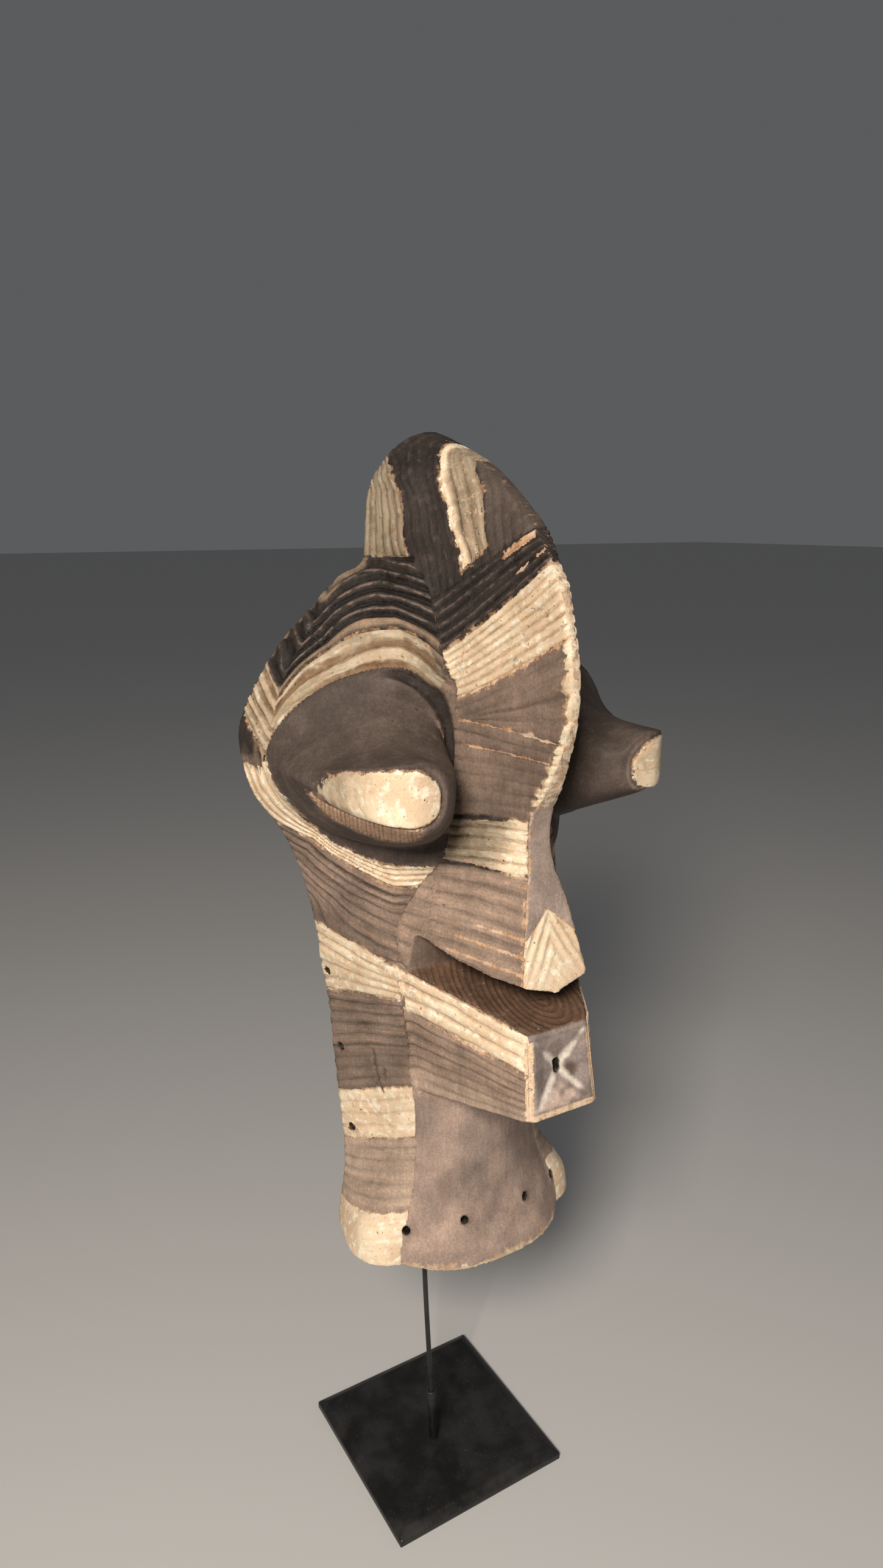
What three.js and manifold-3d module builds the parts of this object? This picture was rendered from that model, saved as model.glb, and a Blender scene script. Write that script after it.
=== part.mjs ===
// Carved wooden face mask with a high crest, standing on a thin rod over a square plate.
// Millimetres, +Z up, the face looks along -Y, and X = 0 is the plane of symmetry.
import * as THREE from 'three';
import { ParametricGeometry } from 'three/addons/geometries/ParametricGeometry.js';
import { mergeVertices } from 'three/addons/utils/BufferGeometryUtils.js';
import Module from 'manifold-3d';

const solids = await Module();
solids.setup();

// Stand
const PLATE_SIDE = 130;
const PLATE_HEIGHT = 8;
const PLATE_BEVEL = 6;
const PLATE_BEVEL_DROP = 3;
const SOCKET_RADIUS = 3.2;
const SOCKET_TOP_Z = 50;
const ROD_RADIUS = 1.7;
const ROD_SIDES = 12;
const ROD_X = -6.5;
const ROD_Y = -9;
const ROD_LEAN = 2.8;
const ROD_LEAN_Z = [-20, 60, 140];
const ROD_INSIDE = [{ x: -16, z: 225 }, { x: -15, z: 400 }, { x: -10, z: 560 }, { x: -9, z: 640 }];
const ROD_TOP_Z = 612.4;
const ROD_STEPS = 24;
const ROD_SAMPLES = 400;
const GAP = 0.3;

// Mask: the plane of the open back, and the heights of its main features
const BACK_Y = 5;
const NOSE_BOTTOM_Z = 413;
const WALL = 9;
const OUTER_STEP = 12;
const HOLLOW_STEP = 20;
const SIDE_BOW = 1;
const OUTER_COUNTS = { front: 6, middle: 5, back: 3 };
const HOLLOW_COUNTS = { front: 4, middle: 3, back: 2 };
const HOLLOW_BOWS = { front: 3, middle: 2 };
const HOLLOW_FRONT_X = 2;

// Half sections of the mask at one height each, from the front (edge) over the
// valley beside crest or nose (valley) and the temple or jaw corner (side) to the
// back edge (back). Bows push a stretch outwards, or inwards when negative.
const SECTION_KEYS = ['z', 'edgeX', 'edgeY', 'valleyX', 'valleyY', 'sideX', 'sideY', 'backX',
  'frontBow', 'midBow'];
const SECTIONS = [
  [211, 3, -86, 60, -59, 80, -27, 71, 9, 8],
  [226, 3, -80, 58, -58, 76, -27, 69, 6, 8.5],
  [240, 3, -76, 53, -56, 69, -26, 67, 5, 6.5],
  [256, 3, -74, 47, -53, 61, -24, 66, 4, 3.5],
  [284, 3, -73, 43, -50, 57, -22, 68, 4, 1],
  [332, 3, -73, 47, -52, 61, -23, 72, 4, 1],
  [362, 3, -73, 54, -55, 65, -25, 74, 4, 1],
  [406, 5, -74, 60, -58, 71, -26, 80, 3, 1],
  [407, 22, -129, 60, -58, 71, -26, 80, 0, 1],
  [413, 21, -128, 58, -57, 71, -26, 81, 0, 1],
  [430, 18, -124, 56, -55, 73, -25, 84, -1, 1],
  [455, 13, -118, 46, -62, 75, -24, 91, -2, 1],
  [475, 8, -112, 36, -74, 80, -22, 99, -2, 2],
  [490, 7, -110, 30, -70, 97, -16, 108, -3, 2],
  [502, 7, -112, 27, -62, 108, -16, 116, -3, 0],
  [517, 6, -121, 26, -59, 115, -16, 121, -3, 0],
  [537, 4.5, -130, 25, -62, 116, -16, 124, -3, 0],
  [554, 3.5, -136, 25, -68, 105, -15, 119, -3, 4],
  [565, 3.5, -137, 25, -70, 98, -17, 113, -3, 6],
  [576, 3.5, -137, 27, -62, 88, -20, 106, -3, 7],
  [590, 3.5, -135, 28, -55, 72, -24, 95, -3, 6],
  [605, 3.5, -131, 28, -49, 54, -24, 79, -3, 4],
  [622, 4, -125, 29, -41, 45, -20, 61, -3, 2],
  [631, 4, -118, 31, -31, 37, -15, 45, -2, 0],
  [647, 4, -107, 27, -40, 36, -17, 43.5, 0, 1],
  [661, 4, -89, 25, -34, 35, -15, 42.5, 1, 1],
  [674, 4, -69, 22, -28, 32, -12, 39, 2, 2],
  [684, 4, -49, 17, -20, 25, -8, 32, 2, 2],
  [692, 4, -26, 11, -11, 18, -4, 24, 2, 2],
  [698, 3, -8, 7, -3, 11, 1, 14, 1, 1],
  [701, 1.5, 0, 2, 1, 3, 3, 4, 0, 0],
];

// The hollow behind, in the same terms, a wall's thickness inside the outer faces
const HOLLOW_KEYS = ['z', 'edgeY', 'valleyX', 'valleyY', 'sideX', 'sideY', 'backX'];
const HOLLOW = [
  [205, -79, 52, -51, 71, -24, 63],
  [226, -71, 46, -50, 63, -23, 60],
  [252, -66, 39, -46, 52, -21, 57],
  [284, -64, 35, -42, 49, -19, 58],
  [332, -63, 38, -42, 52, -19, 62],
  [362, -60, 44, -44, 56, -21, 65],
  [406, -57, 48, -44, 61, -21, 70],
  [440, -62, 43, -46, 63, -19, 78],
  [475, -62, 34, -50, 67, -14, 88],
  [502, -50, 26, -44, 88, -14, 104],
  [537, -46, 26, -40, 104, -14, 115],
  [560, -44, 26, -38, 92, -12, 107],
  [585, -38, 24, -32, 62, -14, 88],
  [604, -26, 20, -22, 42, -8, 66],
  [614, -6, 12, -5, 22, -2, 32],
];

// Eyes: a cone that grows out of the face and ends in a blunt, rounded white.
// The outlines are seen from the front, on the -X side, as reaches from their centre.
const EYE_CENTRE = new THREE.Vector2(-54, 527);
const EYE_TIP_CENTRE = new THREE.Vector2(-73, 524);
const EYE_TIP_Y = -113;
const EYE_TIP_TURN_X = -74;
const EYE_TIP_TURN = 0.04;
const EYE_TIP_INNER_TURN = 0.008;
const EYE_BASE = { outer: 64, inner: 26, top: 51, bottom: 52, corner: 1.7 };
const EYE_TIP = { outer: 41, inner: 17, top: 16, bottom: 17, corner: 1.5 };
const EYE_ROUNDNESS = { upper: 2, lower: 3 };
const EYE_FLARE = { inner: 0.45, top: 4, outer: 1, shoulder: 5 };
const EYE_LID_FLARE = { right: 0.5, left: 0.85 };
const EYE_AROUND = 32;
const EYE_STEPS = 7;
const EYE_INSIDE_Y = -14;
const EYE_BASE_OUTER = { x: -118, y: -16 };
const EYE_BASE_INNER = { x: -28, y: -57 };
const EYE_TIP_SHARES = [0.72, 0.44, 0.2];

// Mouth: a box that flares back into the cheeks, with a sunk cross in its end
const MOUTH_END_TOP = { x: 21, y: -132, z: 389 };
const MOUTH_END_BOTTOM = { x: 24, y: -139, z: 340 };
const MOUTH_ROOT_TOP = { x: 60, y: -57, z: 409 };
const MOUTH_ROOT_BOTTOM = { x: 44, y: -49, z: 321 };
const MOUTH_INSIDE_Y = -40;
const MOUTH_STEPS = 5;
const MOUTH_FRAME = 4;
const MOUTH_SINK = 6;
const MOUTH_HOLE = { width: 4, height: 9, depth: 24 };

// Slot between nose and mouth, open to the hollow in its middle
const SLOT_BACK_Y = -64;
const SLOT_HALF_WIDTH = 66;
const SLOT_RISE = 15;
const NOSE_POINT = 7;
const SLOT_DEPTHS = [-110, -86];
const SLOT_PIERCE = { halfWidth: 24, narrow: 17, height: 9, z: 417, length: 40, sides: 12 };

// Tie holes: two on each side of the chin and three through each side wall
const TIE_HOLE_RADIUS = 1.9;
const TIE_HOLE_SIDES = 8;
const CHIN_DRILL = 36;
const SIDE_DRILL = 180;
const SIDE_TURN = 90;
const CHIN_HOLES = [{ x: 22, y: -71, z: 238, turn: 12 }, { x: 55, y: -58, z: 233, turn: 40 }];
const SIDE_HOLES = [{ y: -5, z: 279 }, { y: -3, z: 336 }, { y: -2, z: 388 }];

const WOOD = new THREE.MeshStandardMaterial({ color: 0x6b5a4e, roughness: 0.85, metalness: 0 });
const BLACK_STEEL = new THREE.MeshStandardMaterial({ color: 0x1c1b1b, roughness: 0.45, metalness: 0.6 });

// Smooth value of one column of a table at a given height, without overshoot
function columnAt(table, column, height) {
  const last = table.length - 1;
  if (height <= table[0][0]) return table[0][column];
  if (height >= table[last][0]) return table[last][column];
  const slope = (i) => (table[i + 1][column] - table[i][column]) / (table[i + 1][0] - table[i][0]);
  const tangent = (i) => {
    if (i === 0) return slope(0);
    if (i === last) return slope(last - 1);
    const before = slope(i - 1);
    const after = slope(i);
    return before * after <= 0 ? 0 : (2 * before * after) / (before + after);
  };
  let row = 0;
  while (height > table[row + 1][0]) row += 1;
  const span = table[row + 1][0] - table[row][0];
  const t = (height - table[row][0]) / span;
  const [a, b] = [table[row][column], table[row + 1][column]];
  const [ma, mb] = [tangent(row) * span, tangent(row + 1) * span];
  return a + t * (ma + t * (3 * (b - a) - 2 * ma - mb + t * (2 * (a - b) + ma + mb)));
}

function rowAt(table, keys, height) {
  return Object.fromEntries(keys.map((key, column) => [key, columnAt(table, column, height)]));
}

// Heights of the table, with steps of at most `step` between them
function levels(table, step) {
  const heights = [table[0][0]];
  for (let i = 1; i < table.length; i += 1) {
    const span = table[i][0] - table[i - 1][0];
    const parts = Math.ceil(span / step);
    for (let k = 1; k <= parts; k += 1) heights.push(table[i - 1][0] + (span * k) / parts);
  }
  return heights;
}

// Stretch from a to b, bowed to its left by `bow`, without its last point
function stretch(a, b, bow, count) {
  const across = new THREE.Vector2(-(b.y - a.y), b.x - a.x).normalize().multiplyScalar(2 * bow);
  const control = a.clone().add(b).multiplyScalar(0.5).sub(across);
  return new THREE.QuadraticBezierCurve(a, control, b).getPoints(count).slice(0, -1);
}

// Closed ring from a half outline on the +X side, front first
function mirroredRing(half, z) {
  const right = half.map((p) => new THREE.Vector3(p.x, p.y, z));
  const left = half.map((p) => new THREE.Vector3(-p.x, p.y, z)).reverse();
  return [...right, ...left];
}

function outerRing(z) {
  const s = rowAt(SECTIONS, SECTION_KEYS, z);
  const edge = new THREE.Vector2(s.edgeX, s.edgeY);
  const valley = new THREE.Vector2(s.valleyX, s.valleyY);
  const side = new THREE.Vector2(s.sideX, s.sideY);
  const back = new THREE.Vector2(s.backX, BACK_Y);
  const half = [
    ...stretch(edge, valley, s.frontBow, OUTER_COUNTS.front),
    ...stretch(valley, side, s.midBow, OUTER_COUNTS.middle),
    ...stretch(side, back, SIDE_BOW, OUTER_COUNTS.back),
    back,
  ];
  return mirroredRing(half, z);
}

function hollowRing(z) {
  const s = rowAt(HOLLOW, HOLLOW_KEYS, z);
  const front = new THREE.Vector2(HOLLOW_FRONT_X, s.edgeY);
  const valley = new THREE.Vector2(s.valleyX, s.valleyY);
  const side = new THREE.Vector2(s.sideX, s.sideY);
  const back = new THREE.Vector2(s.backX, BACK_Y + WALL);
  const half = [
    ...stretch(front, valley, HOLLOW_BOWS.front, HOLLOW_COUNTS.front),
    ...stretch(valley, side, HOLLOW_BOWS.middle, HOLLOW_COUNTS.middle),
    ...stretch(side, back, SIDE_BOW, HOLLOW_COUNTS.back),
    back,
  ];
  return mirroredRing(half, z);
}

// Closed geometry through rings of equal length, each end closed by its middle
function ringSolid(rings) {
  const middle = (ring) => {
    const sum = ring.reduce((total, p) => total.add(p), new THREE.Vector3());
    return sum.divideScalar(ring.length);
  };
  const collapsed = (ring) => ring.map(() => middle(ring));
  const all = [collapsed(rings[0]), ...rings, collapsed(rings[rings.length - 1])];
  const around = rings[0].length;
  const up = all.length - 1;
  const point = (u, v, target) => {
    target.copy(all[Math.round(v * up)][Math.round(u * around) % around]);
  };
  return new ParametricGeometry(point, around, up);
}

// Solid of a closed geometry: shared corners merged, empty triangles dropped, faces out
function solidOf(geometry) {
  geometry.deleteAttribute('normal');
  geometry.deleteAttribute('uv');
  const merged = mergeVertices(geometry, 1e-4);
  const index = merged.index.array;
  const position = merged.attributes.position;
  const kept = [];
  let volume = 0;
  const [a, b, c] = [new THREE.Vector3(), new THREE.Vector3(), new THREE.Vector3()];
  for (let i = 0; i < index.length; i += 3) {
    const [p, q, r] = [index[i], index[i + 1], index[i + 2]];
    if (p === q || q === r || r === p) continue;
    kept.push([p, q, r]);
    a.fromBufferAttribute(position, p);
    b.fromBufferAttribute(position, q);
    c.fromBufferAttribute(position, r);
    volume += a.dot(b.cross(c));
  }
  const ordered = volume > 0 ? kept : kept.map(([p, q, r]) => [p, r, q]);
  return new solids.Manifold(new solids.Mesh({
    numProp: 3,
    vertProperties: new Float32Array(position.array),
    triVerts: new Uint32Array(ordered.flat()),
  }));
}

function meshOf(solid, name, material) {
  const result = solid.getMesh();
  const geometry = new THREE.BufferGeometry();
  geometry.setAttribute('position', new THREE.BufferAttribute(result.vertProperties, 3));
  geometry.setIndex(new THREE.BufferAttribute(result.triVerts, 1));
  geometry.computeVertexNormals();
  const mesh = new THREE.Mesh(geometry, material);
  mesh.name = name;
  return mesh;
}

function bothSides(make) {
  return make(1).add(make(-1));
}

// Point of a rounded outline about its centre, with its own reach on each side
function outlinePoint(shape, angle) {
  const [c, s] = [Math.cos(angle), Math.sin(angle)];
  const across = c > 0 ? shape.inner : shape.outer;
  const along = s > 0 ? shape.top : shape.bottom;
  const innerPower = s > 0 ? EYE_ROUNDNESS.upper : EYE_ROUNDNESS.lower;
  const power = 2 / (c > 0 ? innerPower : shape.corner);
  return new THREE.Vector2(
    across * Math.sign(c) * Math.abs(c) ** power,
    along * Math.sign(s) * Math.abs(s) ** power,
  );
}

// How the cone narrows: under 1 stays wide towards the tip, over 1 draws in at once.
// The lid is the stretch below the tip, the shoulder the one above its outer end.
function flarePower(angle, lidFlare) {
  const [c, s] = [Math.cos(angle), Math.sin(angle)];
  const across = c > 0 ? EYE_FLARE.inner : EYE_FLARE.outer;
  const along = s > 0 ? EYE_FLARE.top : lidFlare;
  const shoulder = EYE_FLARE.shoulder * Math.max(0, s) * Math.max(0, -c);
  return across * c * c + along * s * s + shoulder;
}

function eyeTipY(x) {
  const beyond = Math.max(0, EYE_TIP_TURN_X - x);
  const inside = Math.max(0, x - EYE_TIP_TURN_X);
  return EYE_TIP_Y + EYE_TIP_TURN * beyond ** 2 + EYE_TIP_INNER_TURN * inside ** 2;
}

function eyeBaseY(x) {
  const [outer, inner] = [EYE_BASE_OUTER, EYE_BASE_INNER];
  return THREE.MathUtils.mapLinear(x, outer.x, inner.x, outer.y, inner.y);
}

// Ring around the cone, t = 0 where it leaves the face and 1 at the rim of its tip
function eyeRing(t, lidFlare) {
  const ring = [];
  for (let k = 0; k < EYE_AROUND; k += 1) {
    const angle = (2 * Math.PI * k) / EYE_AROUND;
    const flare = (1 - t) ** flarePower(angle, lidFlare);
    const tip = outlinePoint(EYE_TIP, angle).add(EYE_TIP_CENTRE);
    const base = outlinePoint(EYE_BASE, angle).add(EYE_CENTRE);
    const { x, y: z } = tip.lerp(base, flare);
    ring.push(new THREE.Vector3(x, THREE.MathUtils.lerp(eyeBaseY(x), eyeTipY(x), t), z));
  }
  return ring;
}

// Ring on the tip itself, drawn in towards its centre
function eyeTipRing(share, lidFlare) {
  return eyeRing(1, lidFlare).map((p) => {
    const x = THREE.MathUtils.lerp(EYE_TIP_CENTRE.x, p.x, share);
    const z = THREE.MathUtils.lerp(EYE_TIP_CENTRE.y, p.z, share);
    return new THREE.Vector3(x, eyeTipY(x), z);
  });
}

// Eye on the -X side, or its mirror image; the lid below the tip differs between the two
function eye(mirror) {
  const lidFlare = mirror > 0 ? EYE_LID_FLARE.right : EYE_LID_FLARE.left;
  const rings = [eyeRing(0, lidFlare).map((p) => p.clone().setY(EYE_INSIDE_Y))];
  for (let step = 0; step <= EYE_STEPS; step += 1) rings.push(eyeRing(step / EYE_STEPS, lidFlare));
  for (const share of EYE_TIP_SHARES) rings.push(eyeTipRing(share, lidFlare));
  return solidOf(ringSolid(rings.map((ring) => ring.map((p) => p.setX(p.x * mirror)))));
}

// Upright frame of the mouth, with a few points down each side
function mouthFrame({ top, bottom }) {
  const high = new THREE.Vector3(top.x, top.y, top.z);
  const low = new THREE.Vector3(bottom.x, bottom.y, bottom.z);
  const right = [];
  for (let k = 0; k <= MOUTH_STEPS; k += 1) right.push(high.clone().lerp(low, k / MOUTH_STEPS));
  const left = right.map((p) => new THREE.Vector3(-p.x, p.y, p.z)).reverse();
  return [...right, ...left];
}

function boxSolid(width, depth, height, x, y, z) {
  const geometry = new THREE.BoxGeometry(width, depth, height);
  geometry.translate(x, y, z);
  return solidOf(geometry);
}

function mouth() {
  const end = mouthFrame({ top: MOUTH_END_TOP, bottom: MOUTH_END_BOTTOM });
  const root = mouthFrame({ top: MOUTH_ROOT_TOP, bottom: MOUTH_ROOT_BOTTOM });
  const rings = [];
  for (let step = 0; step <= MOUTH_STEPS; step += 1) {
    rings.push(end.map((p, k) => p.clone().lerp(root[k], step / MOUTH_STEPS)));
  }
  rings.push(root.map((p) => p.clone().setY(MOUTH_INSIDE_Y)));
  return solidOf(ringSolid(rings));
}

// Sunk four-sided pyramid in the mouth's end, and the hole at its bottom
function mouthSink() {
  const middle = new THREE.Vector3(0, 0, 0);
  const corners = [];
  for (const [corner, up] of [[MOUTH_END_TOP, -1], [MOUTH_END_BOTTOM, 1]]) {
    for (const sideways of [1, -1]) {
      const x = (corner.x - MOUTH_FRAME) * sideways * (up > 0 ? 1 : -1);
      corners.push(new THREE.Vector3(x, corner.y, corner.z + up * MOUTH_FRAME));
    }
  }
  corners.forEach((corner) => middle.addScaledVector(corner, 1 / corners.length));
  const outer = corners.map((corner) => corner.clone().setY(corner.y - MOUTH_SINK));
  const sunk = middle.clone().setY(middle.y + MOUTH_SINK);
  const pyramid = solidOf(ringSolid([corners.map(() => sunk), corners, outer]));
  const { width, height, depth } = MOUTH_HOLE;
  return pyramid.add(boxSolid(width, depth, height, 0, middle.y + depth / 2, middle.z));
}

// Wedge between the underside of the nose, lowest at its middle, and the mouth's top
function slot() {
  const front = MOUTH_END_BOTTOM.y - WALL;
  const mouthSlope = (MOUTH_ROOT_TOP.z - MOUTH_END_TOP.z) / (MOUTH_ROOT_TOP.y - MOUTH_END_TOP.y);
  const mouthTop = (y) => MOUTH_END_TOP.z + mouthSlope * (y - MOUTH_END_TOP.y);
  const noseBottom = (y) => {
    const back = Math.max(0, y - MOUTH_END_TOP.y) / (SLOT_BACK_Y - MOUTH_END_TOP.y);
    return NOSE_BOTTOM_Z + SLOT_RISE * back * back;
  };
  const depths = [front, MOUTH_END_TOP.y, ...SLOT_DEPTHS, SLOT_BACK_Y];
  const ringAt = (x) => {
    const drop = NOSE_POINT * Math.max(0, 1 - Math.abs(x) / MOUTH_END_TOP.x);
    const above = depths.map((y) => new THREE.Vector3(x, y, noseBottom(y) - drop));
    const below = depths.map((y) => new THREE.Vector3(x, y, mouthTop(y))).reverse();
    return [...above, ...below];
  };
  const across = [SLOT_HALF_WIDTH, MOUTH_END_TOP.x, 0, -MOUTH_END_TOP.x, -SLOT_HALF_WIDTH];
  const { halfWidth, narrow, height, z, length, sides } = SLOT_PIERCE;
  const pierce = new THREE.CylinderGeometry(halfWidth, narrow, length, sides, 1);
  pierce.scale(1, 1, height / (2 * halfWidth));
  pierce.translate(0, SLOT_BACK_Y, z);
  return solidOf(ringSolid(across.map(ringAt))).add(solidOf(pierce));
}

// Drill of a tie hole through a point of the wall, turned about the vertical
function drill(length, x, y, z, turn) {
  const geometry = new THREE.CylinderGeometry(
    TIE_HOLE_RADIUS, TIE_HOLE_RADIUS, length, TIE_HOLE_SIDES, 1,
  );
  geometry.rotateZ(THREE.MathUtils.degToRad(turn));
  geometry.translate(x, y, z);
  return solidOf(geometry);
}

function tieHoles() {
  const chin = CHIN_HOLES.map(({ x, y, z, turn }) => bothSides(
    (mirror) => drill(CHIN_DRILL, mirror * x, y, z, mirror * turn),
  ));
  const side = SIDE_HOLES.map(({ y, z }) => drill(SIDE_DRILL, 0, y, z, SIDE_TURN));
  return solids.Manifold.union([...chin, ...side]);
}

function mask() {
  const body = solidOf(ringSolid(levels(SECTIONS, OUTER_STEP).map(outerRing)));
  const hollow = solidOf(ringSolid(levels(HOLLOW, HOLLOW_STEP).map(hollowRing)));
  return body.subtract(slot())
    .add(bothSides(eye))
    .add(mouth())
    .subtract(mouthSink())
    .subtract(hollow)
    .subtract(tieHoles());
}

function standPlate() {
  const low = PLATE_SIDE / 2;
  const square = (half, z) => [
    new THREE.Vector3(half, half, z), new THREE.Vector3(-half, half, z),
    new THREE.Vector3(-half, -half, z), new THREE.Vector3(half, -half, z),
  ];
  const rings = [
    square(low, 0),
    square(low, PLATE_HEIGHT - PLATE_BEVEL_DROP),
    square(low - PLATE_BEVEL, PLATE_HEIGHT),
  ];
  return solidOf(ringSolid(rings));
}

// The rod leans a little, then bows back to the middle inside the mask
function rodPath() {
  const lean = Math.tan(THREE.MathUtils.degToRad(ROD_LEAN));
  const leaning = (z) => new THREE.Vector3(ROD_X - lean * z, ROD_Y, z);
  const inside = ROD_INSIDE.map(({ x, z }) => new THREE.Vector3(x, ROD_Y, z));
  return new THREE.CatmullRomCurve3([...ROD_LEAN_Z.map(leaning), ...inside]);
}

// Tube of a given radius along the rod's path between two heights
function tubeAlongRod(radius, low, high, steps) {
  const path = rodPath();
  const samples = path.getSpacedPoints(ROD_SAMPLES);
  const at = (z) => {
    const above = samples.findIndex((p) => p.z > z);
    const [a, b] = [samples[above - 1], samples[above]];
    return a.clone().lerp(b, (z - a.z) / (b.z - a.z));
  };
  const points = [];
  for (let k = 0; k <= steps; k += 1) points.push(at(THREE.MathUtils.lerp(low, high, k / steps)));
  const section = new THREE.Shape().absarc(0, 0, radius, 0, 2 * Math.PI);
  return solidOf(new THREE.ExtrudeGeometry(section, {
    steps, curveSegments: ROD_SIDES, extrudePath: new THREE.CatmullRomCurve3(points),
  }));
}

function standSocket() {
  const outer = tubeAlongRod(SOCKET_RADIUS, PLATE_HEIGHT + GAP, SOCKET_TOP_Z, 2);
  const bore = tubeAlongRod(ROD_RADIUS + GAP, 0, SOCKET_TOP_Z + PLATE_HEIGHT, 2);
  return outer.subtract(bore);
}

function standRod() {
  return tubeAlongRod(ROD_RADIUS, PLATE_HEIGHT + GAP, ROD_TOP_Z, ROD_STEPS);
}

const group = new THREE.Group();
group.add(meshOf(mask(), 'mask', WOOD));
group.add(meshOf(standRod(), 'stand_rod', BLACK_STEEL));
group.add(meshOf(standSocket(), 'stand_socket', BLACK_STEEL));
group.add(meshOf(standPlate(), 'stand_plate', BLACK_STEEL));

export default group;
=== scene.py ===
"""Looks of a carved and painted wooden face mask on a rod over a square plate.

Carving is worked out in millimetres in the frame of the CAD and written in metres.
"""
import math

import bpy
import numpy as np
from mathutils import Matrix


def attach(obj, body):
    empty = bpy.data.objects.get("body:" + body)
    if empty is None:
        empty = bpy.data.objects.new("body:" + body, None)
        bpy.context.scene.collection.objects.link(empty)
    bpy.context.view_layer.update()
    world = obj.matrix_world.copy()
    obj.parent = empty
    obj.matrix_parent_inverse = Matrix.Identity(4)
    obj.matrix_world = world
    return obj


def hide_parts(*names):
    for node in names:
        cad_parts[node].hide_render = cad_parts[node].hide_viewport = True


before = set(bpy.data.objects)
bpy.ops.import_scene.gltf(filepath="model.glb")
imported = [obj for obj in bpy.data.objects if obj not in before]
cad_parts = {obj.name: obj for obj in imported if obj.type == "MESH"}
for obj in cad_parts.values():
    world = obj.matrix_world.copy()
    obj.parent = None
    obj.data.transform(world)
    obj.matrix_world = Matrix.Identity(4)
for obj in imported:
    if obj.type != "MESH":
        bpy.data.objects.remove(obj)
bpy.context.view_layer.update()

MM = 0.001
SQUARE = np.array([(1, 1), (-1, 1), (-1, -1), (1, -1)])

# Mask: half sections as in the CAD, from the front edge over valley and side to the back
BACK_Y = 5
NOSE_BOTTOM_Z = 413
WALL = 9
LEVEL_STEP = 1.6
OUTER_COUNTS = (48, 40, 16)
HOLLOW_COUNTS = (20, 16, 8)
SIDE_BOW = 1
HOLLOW_BOWS = (3, 2)
HOLLOW_FRONT_X = 2
# Columns of the table: places of the section's points after its height, and two bows
EDGE_X, EDGE_Y, VALLEY_X, VALLEY_Y, SIDE_X, SIDE_Y, BACK_X, FRONT_BOW, MID_BOW = range(1, 10)
SECTIONS = np.array([
    (211, 3, -86, 60, -59, 80, -27, 71, 9, 8),
    (226, 3, -80, 58, -58, 76, -27, 69, 6, 8.5),
    (240, 3, -76, 53, -56, 69, -26, 67, 5, 6.5),
    (256, 3, -74, 47, -53, 61, -24, 66, 4, 3.5),
    (284, 3, -73, 43, -50, 57, -22, 68, 4, 1),
    (332, 3, -73, 47, -52, 61, -23, 72, 4, 1),
    (362, 3, -73, 54, -55, 65, -25, 74, 4, 1),
    (406, 5, -74, 60, -58, 71, -26, 80, 3, 1),
    (407, 22, -129, 60, -58, 71, -26, 80, 0, 1),
    (413, 21, -128, 58, -57, 71, -26, 81, 0, 1),
    (430, 18, -124, 56, -55, 73, -25, 84, -1, 1),
    (455, 13, -118, 46, -62, 75, -24, 91, -2, 1),
    (475, 8, -112, 36, -74, 80, -22, 99, -2, 2),
    (490, 7, -110, 30, -70, 97, -16, 108, -3, 2),
    (502, 7, -112, 27, -62, 108, -16, 116, -3, 0),
    (517, 6, -121, 26, -59, 115, -16, 121, -3, 0),
    (537, 4.5, -130, 25, -62, 116, -16, 124, -3, 0),
    (554, 3.5, -136, 25, -68, 105, -15, 119, -3, 4),
    (565, 3.5, -137, 25, -70, 98, -17, 113, -3, 6),
    (576, 3.5, -137, 27, -62, 88, -20, 106, -3, 7),
    (590, 3.5, -135, 28, -55, 72, -24, 95, -3, 6),
    (605, 3.5, -131, 28, -49, 54, -24, 79, -3, 4),
    (622, 4, -125, 29, -41, 45, -20, 61, -3, 2),
    (631, 4, -118, 31, -31, 37, -15, 45, -2, 0),
    (647, 4, -107, 27, -40, 36, -17, 43.5, 0, 1),
    (661, 4, -89, 25, -34, 35, -15, 42.5, 1, 1),
    (674, 4, -69, 22, -28, 32, -12, 39, 2, 2),
    (684, 4, -49, 17, -20, 25, -8, 32, 2, 2),
    (692, 4, -26, 11, -11, 18, -4, 24, 2, 2),
    (698, 3, -8, 7, -3, 11, 1, 14, 1, 1),
    (701, 1.5, 0, 2, 1, 3, 3, 4, 0, 0),
])
HOLLOW = np.array([
    (205, -79, 52, -51, 71, -24, 63),
    (226, -71, 46, -50, 63, -23, 60),
    (252, -66, 39, -46, 52, -21, 57),
    (284, -64, 35, -42, 49, -19, 58),
    (332, -63, 38, -42, 52, -19, 62),
    (362, -60, 44, -44, 56, -21, 65),
    (406, -57, 48, -44, 61, -21, 70),
    (440, -62, 43, -46, 63, -19, 78),
    (475, -62, 34, -50, 67, -14, 88),
    (502, -50, 26, -44, 88, -14, 104),
    (537, -46, 26, -40, 104, -14, 115),
    (560, -44, 26, -38, 92, -12, 107),
    (585, -38, 24, -32, 62, -14, 88),
    (604, -26, 20, -22, 42, -8, 66),
    (614, -6, 12, -5, 22, -2, 32),
])

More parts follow.
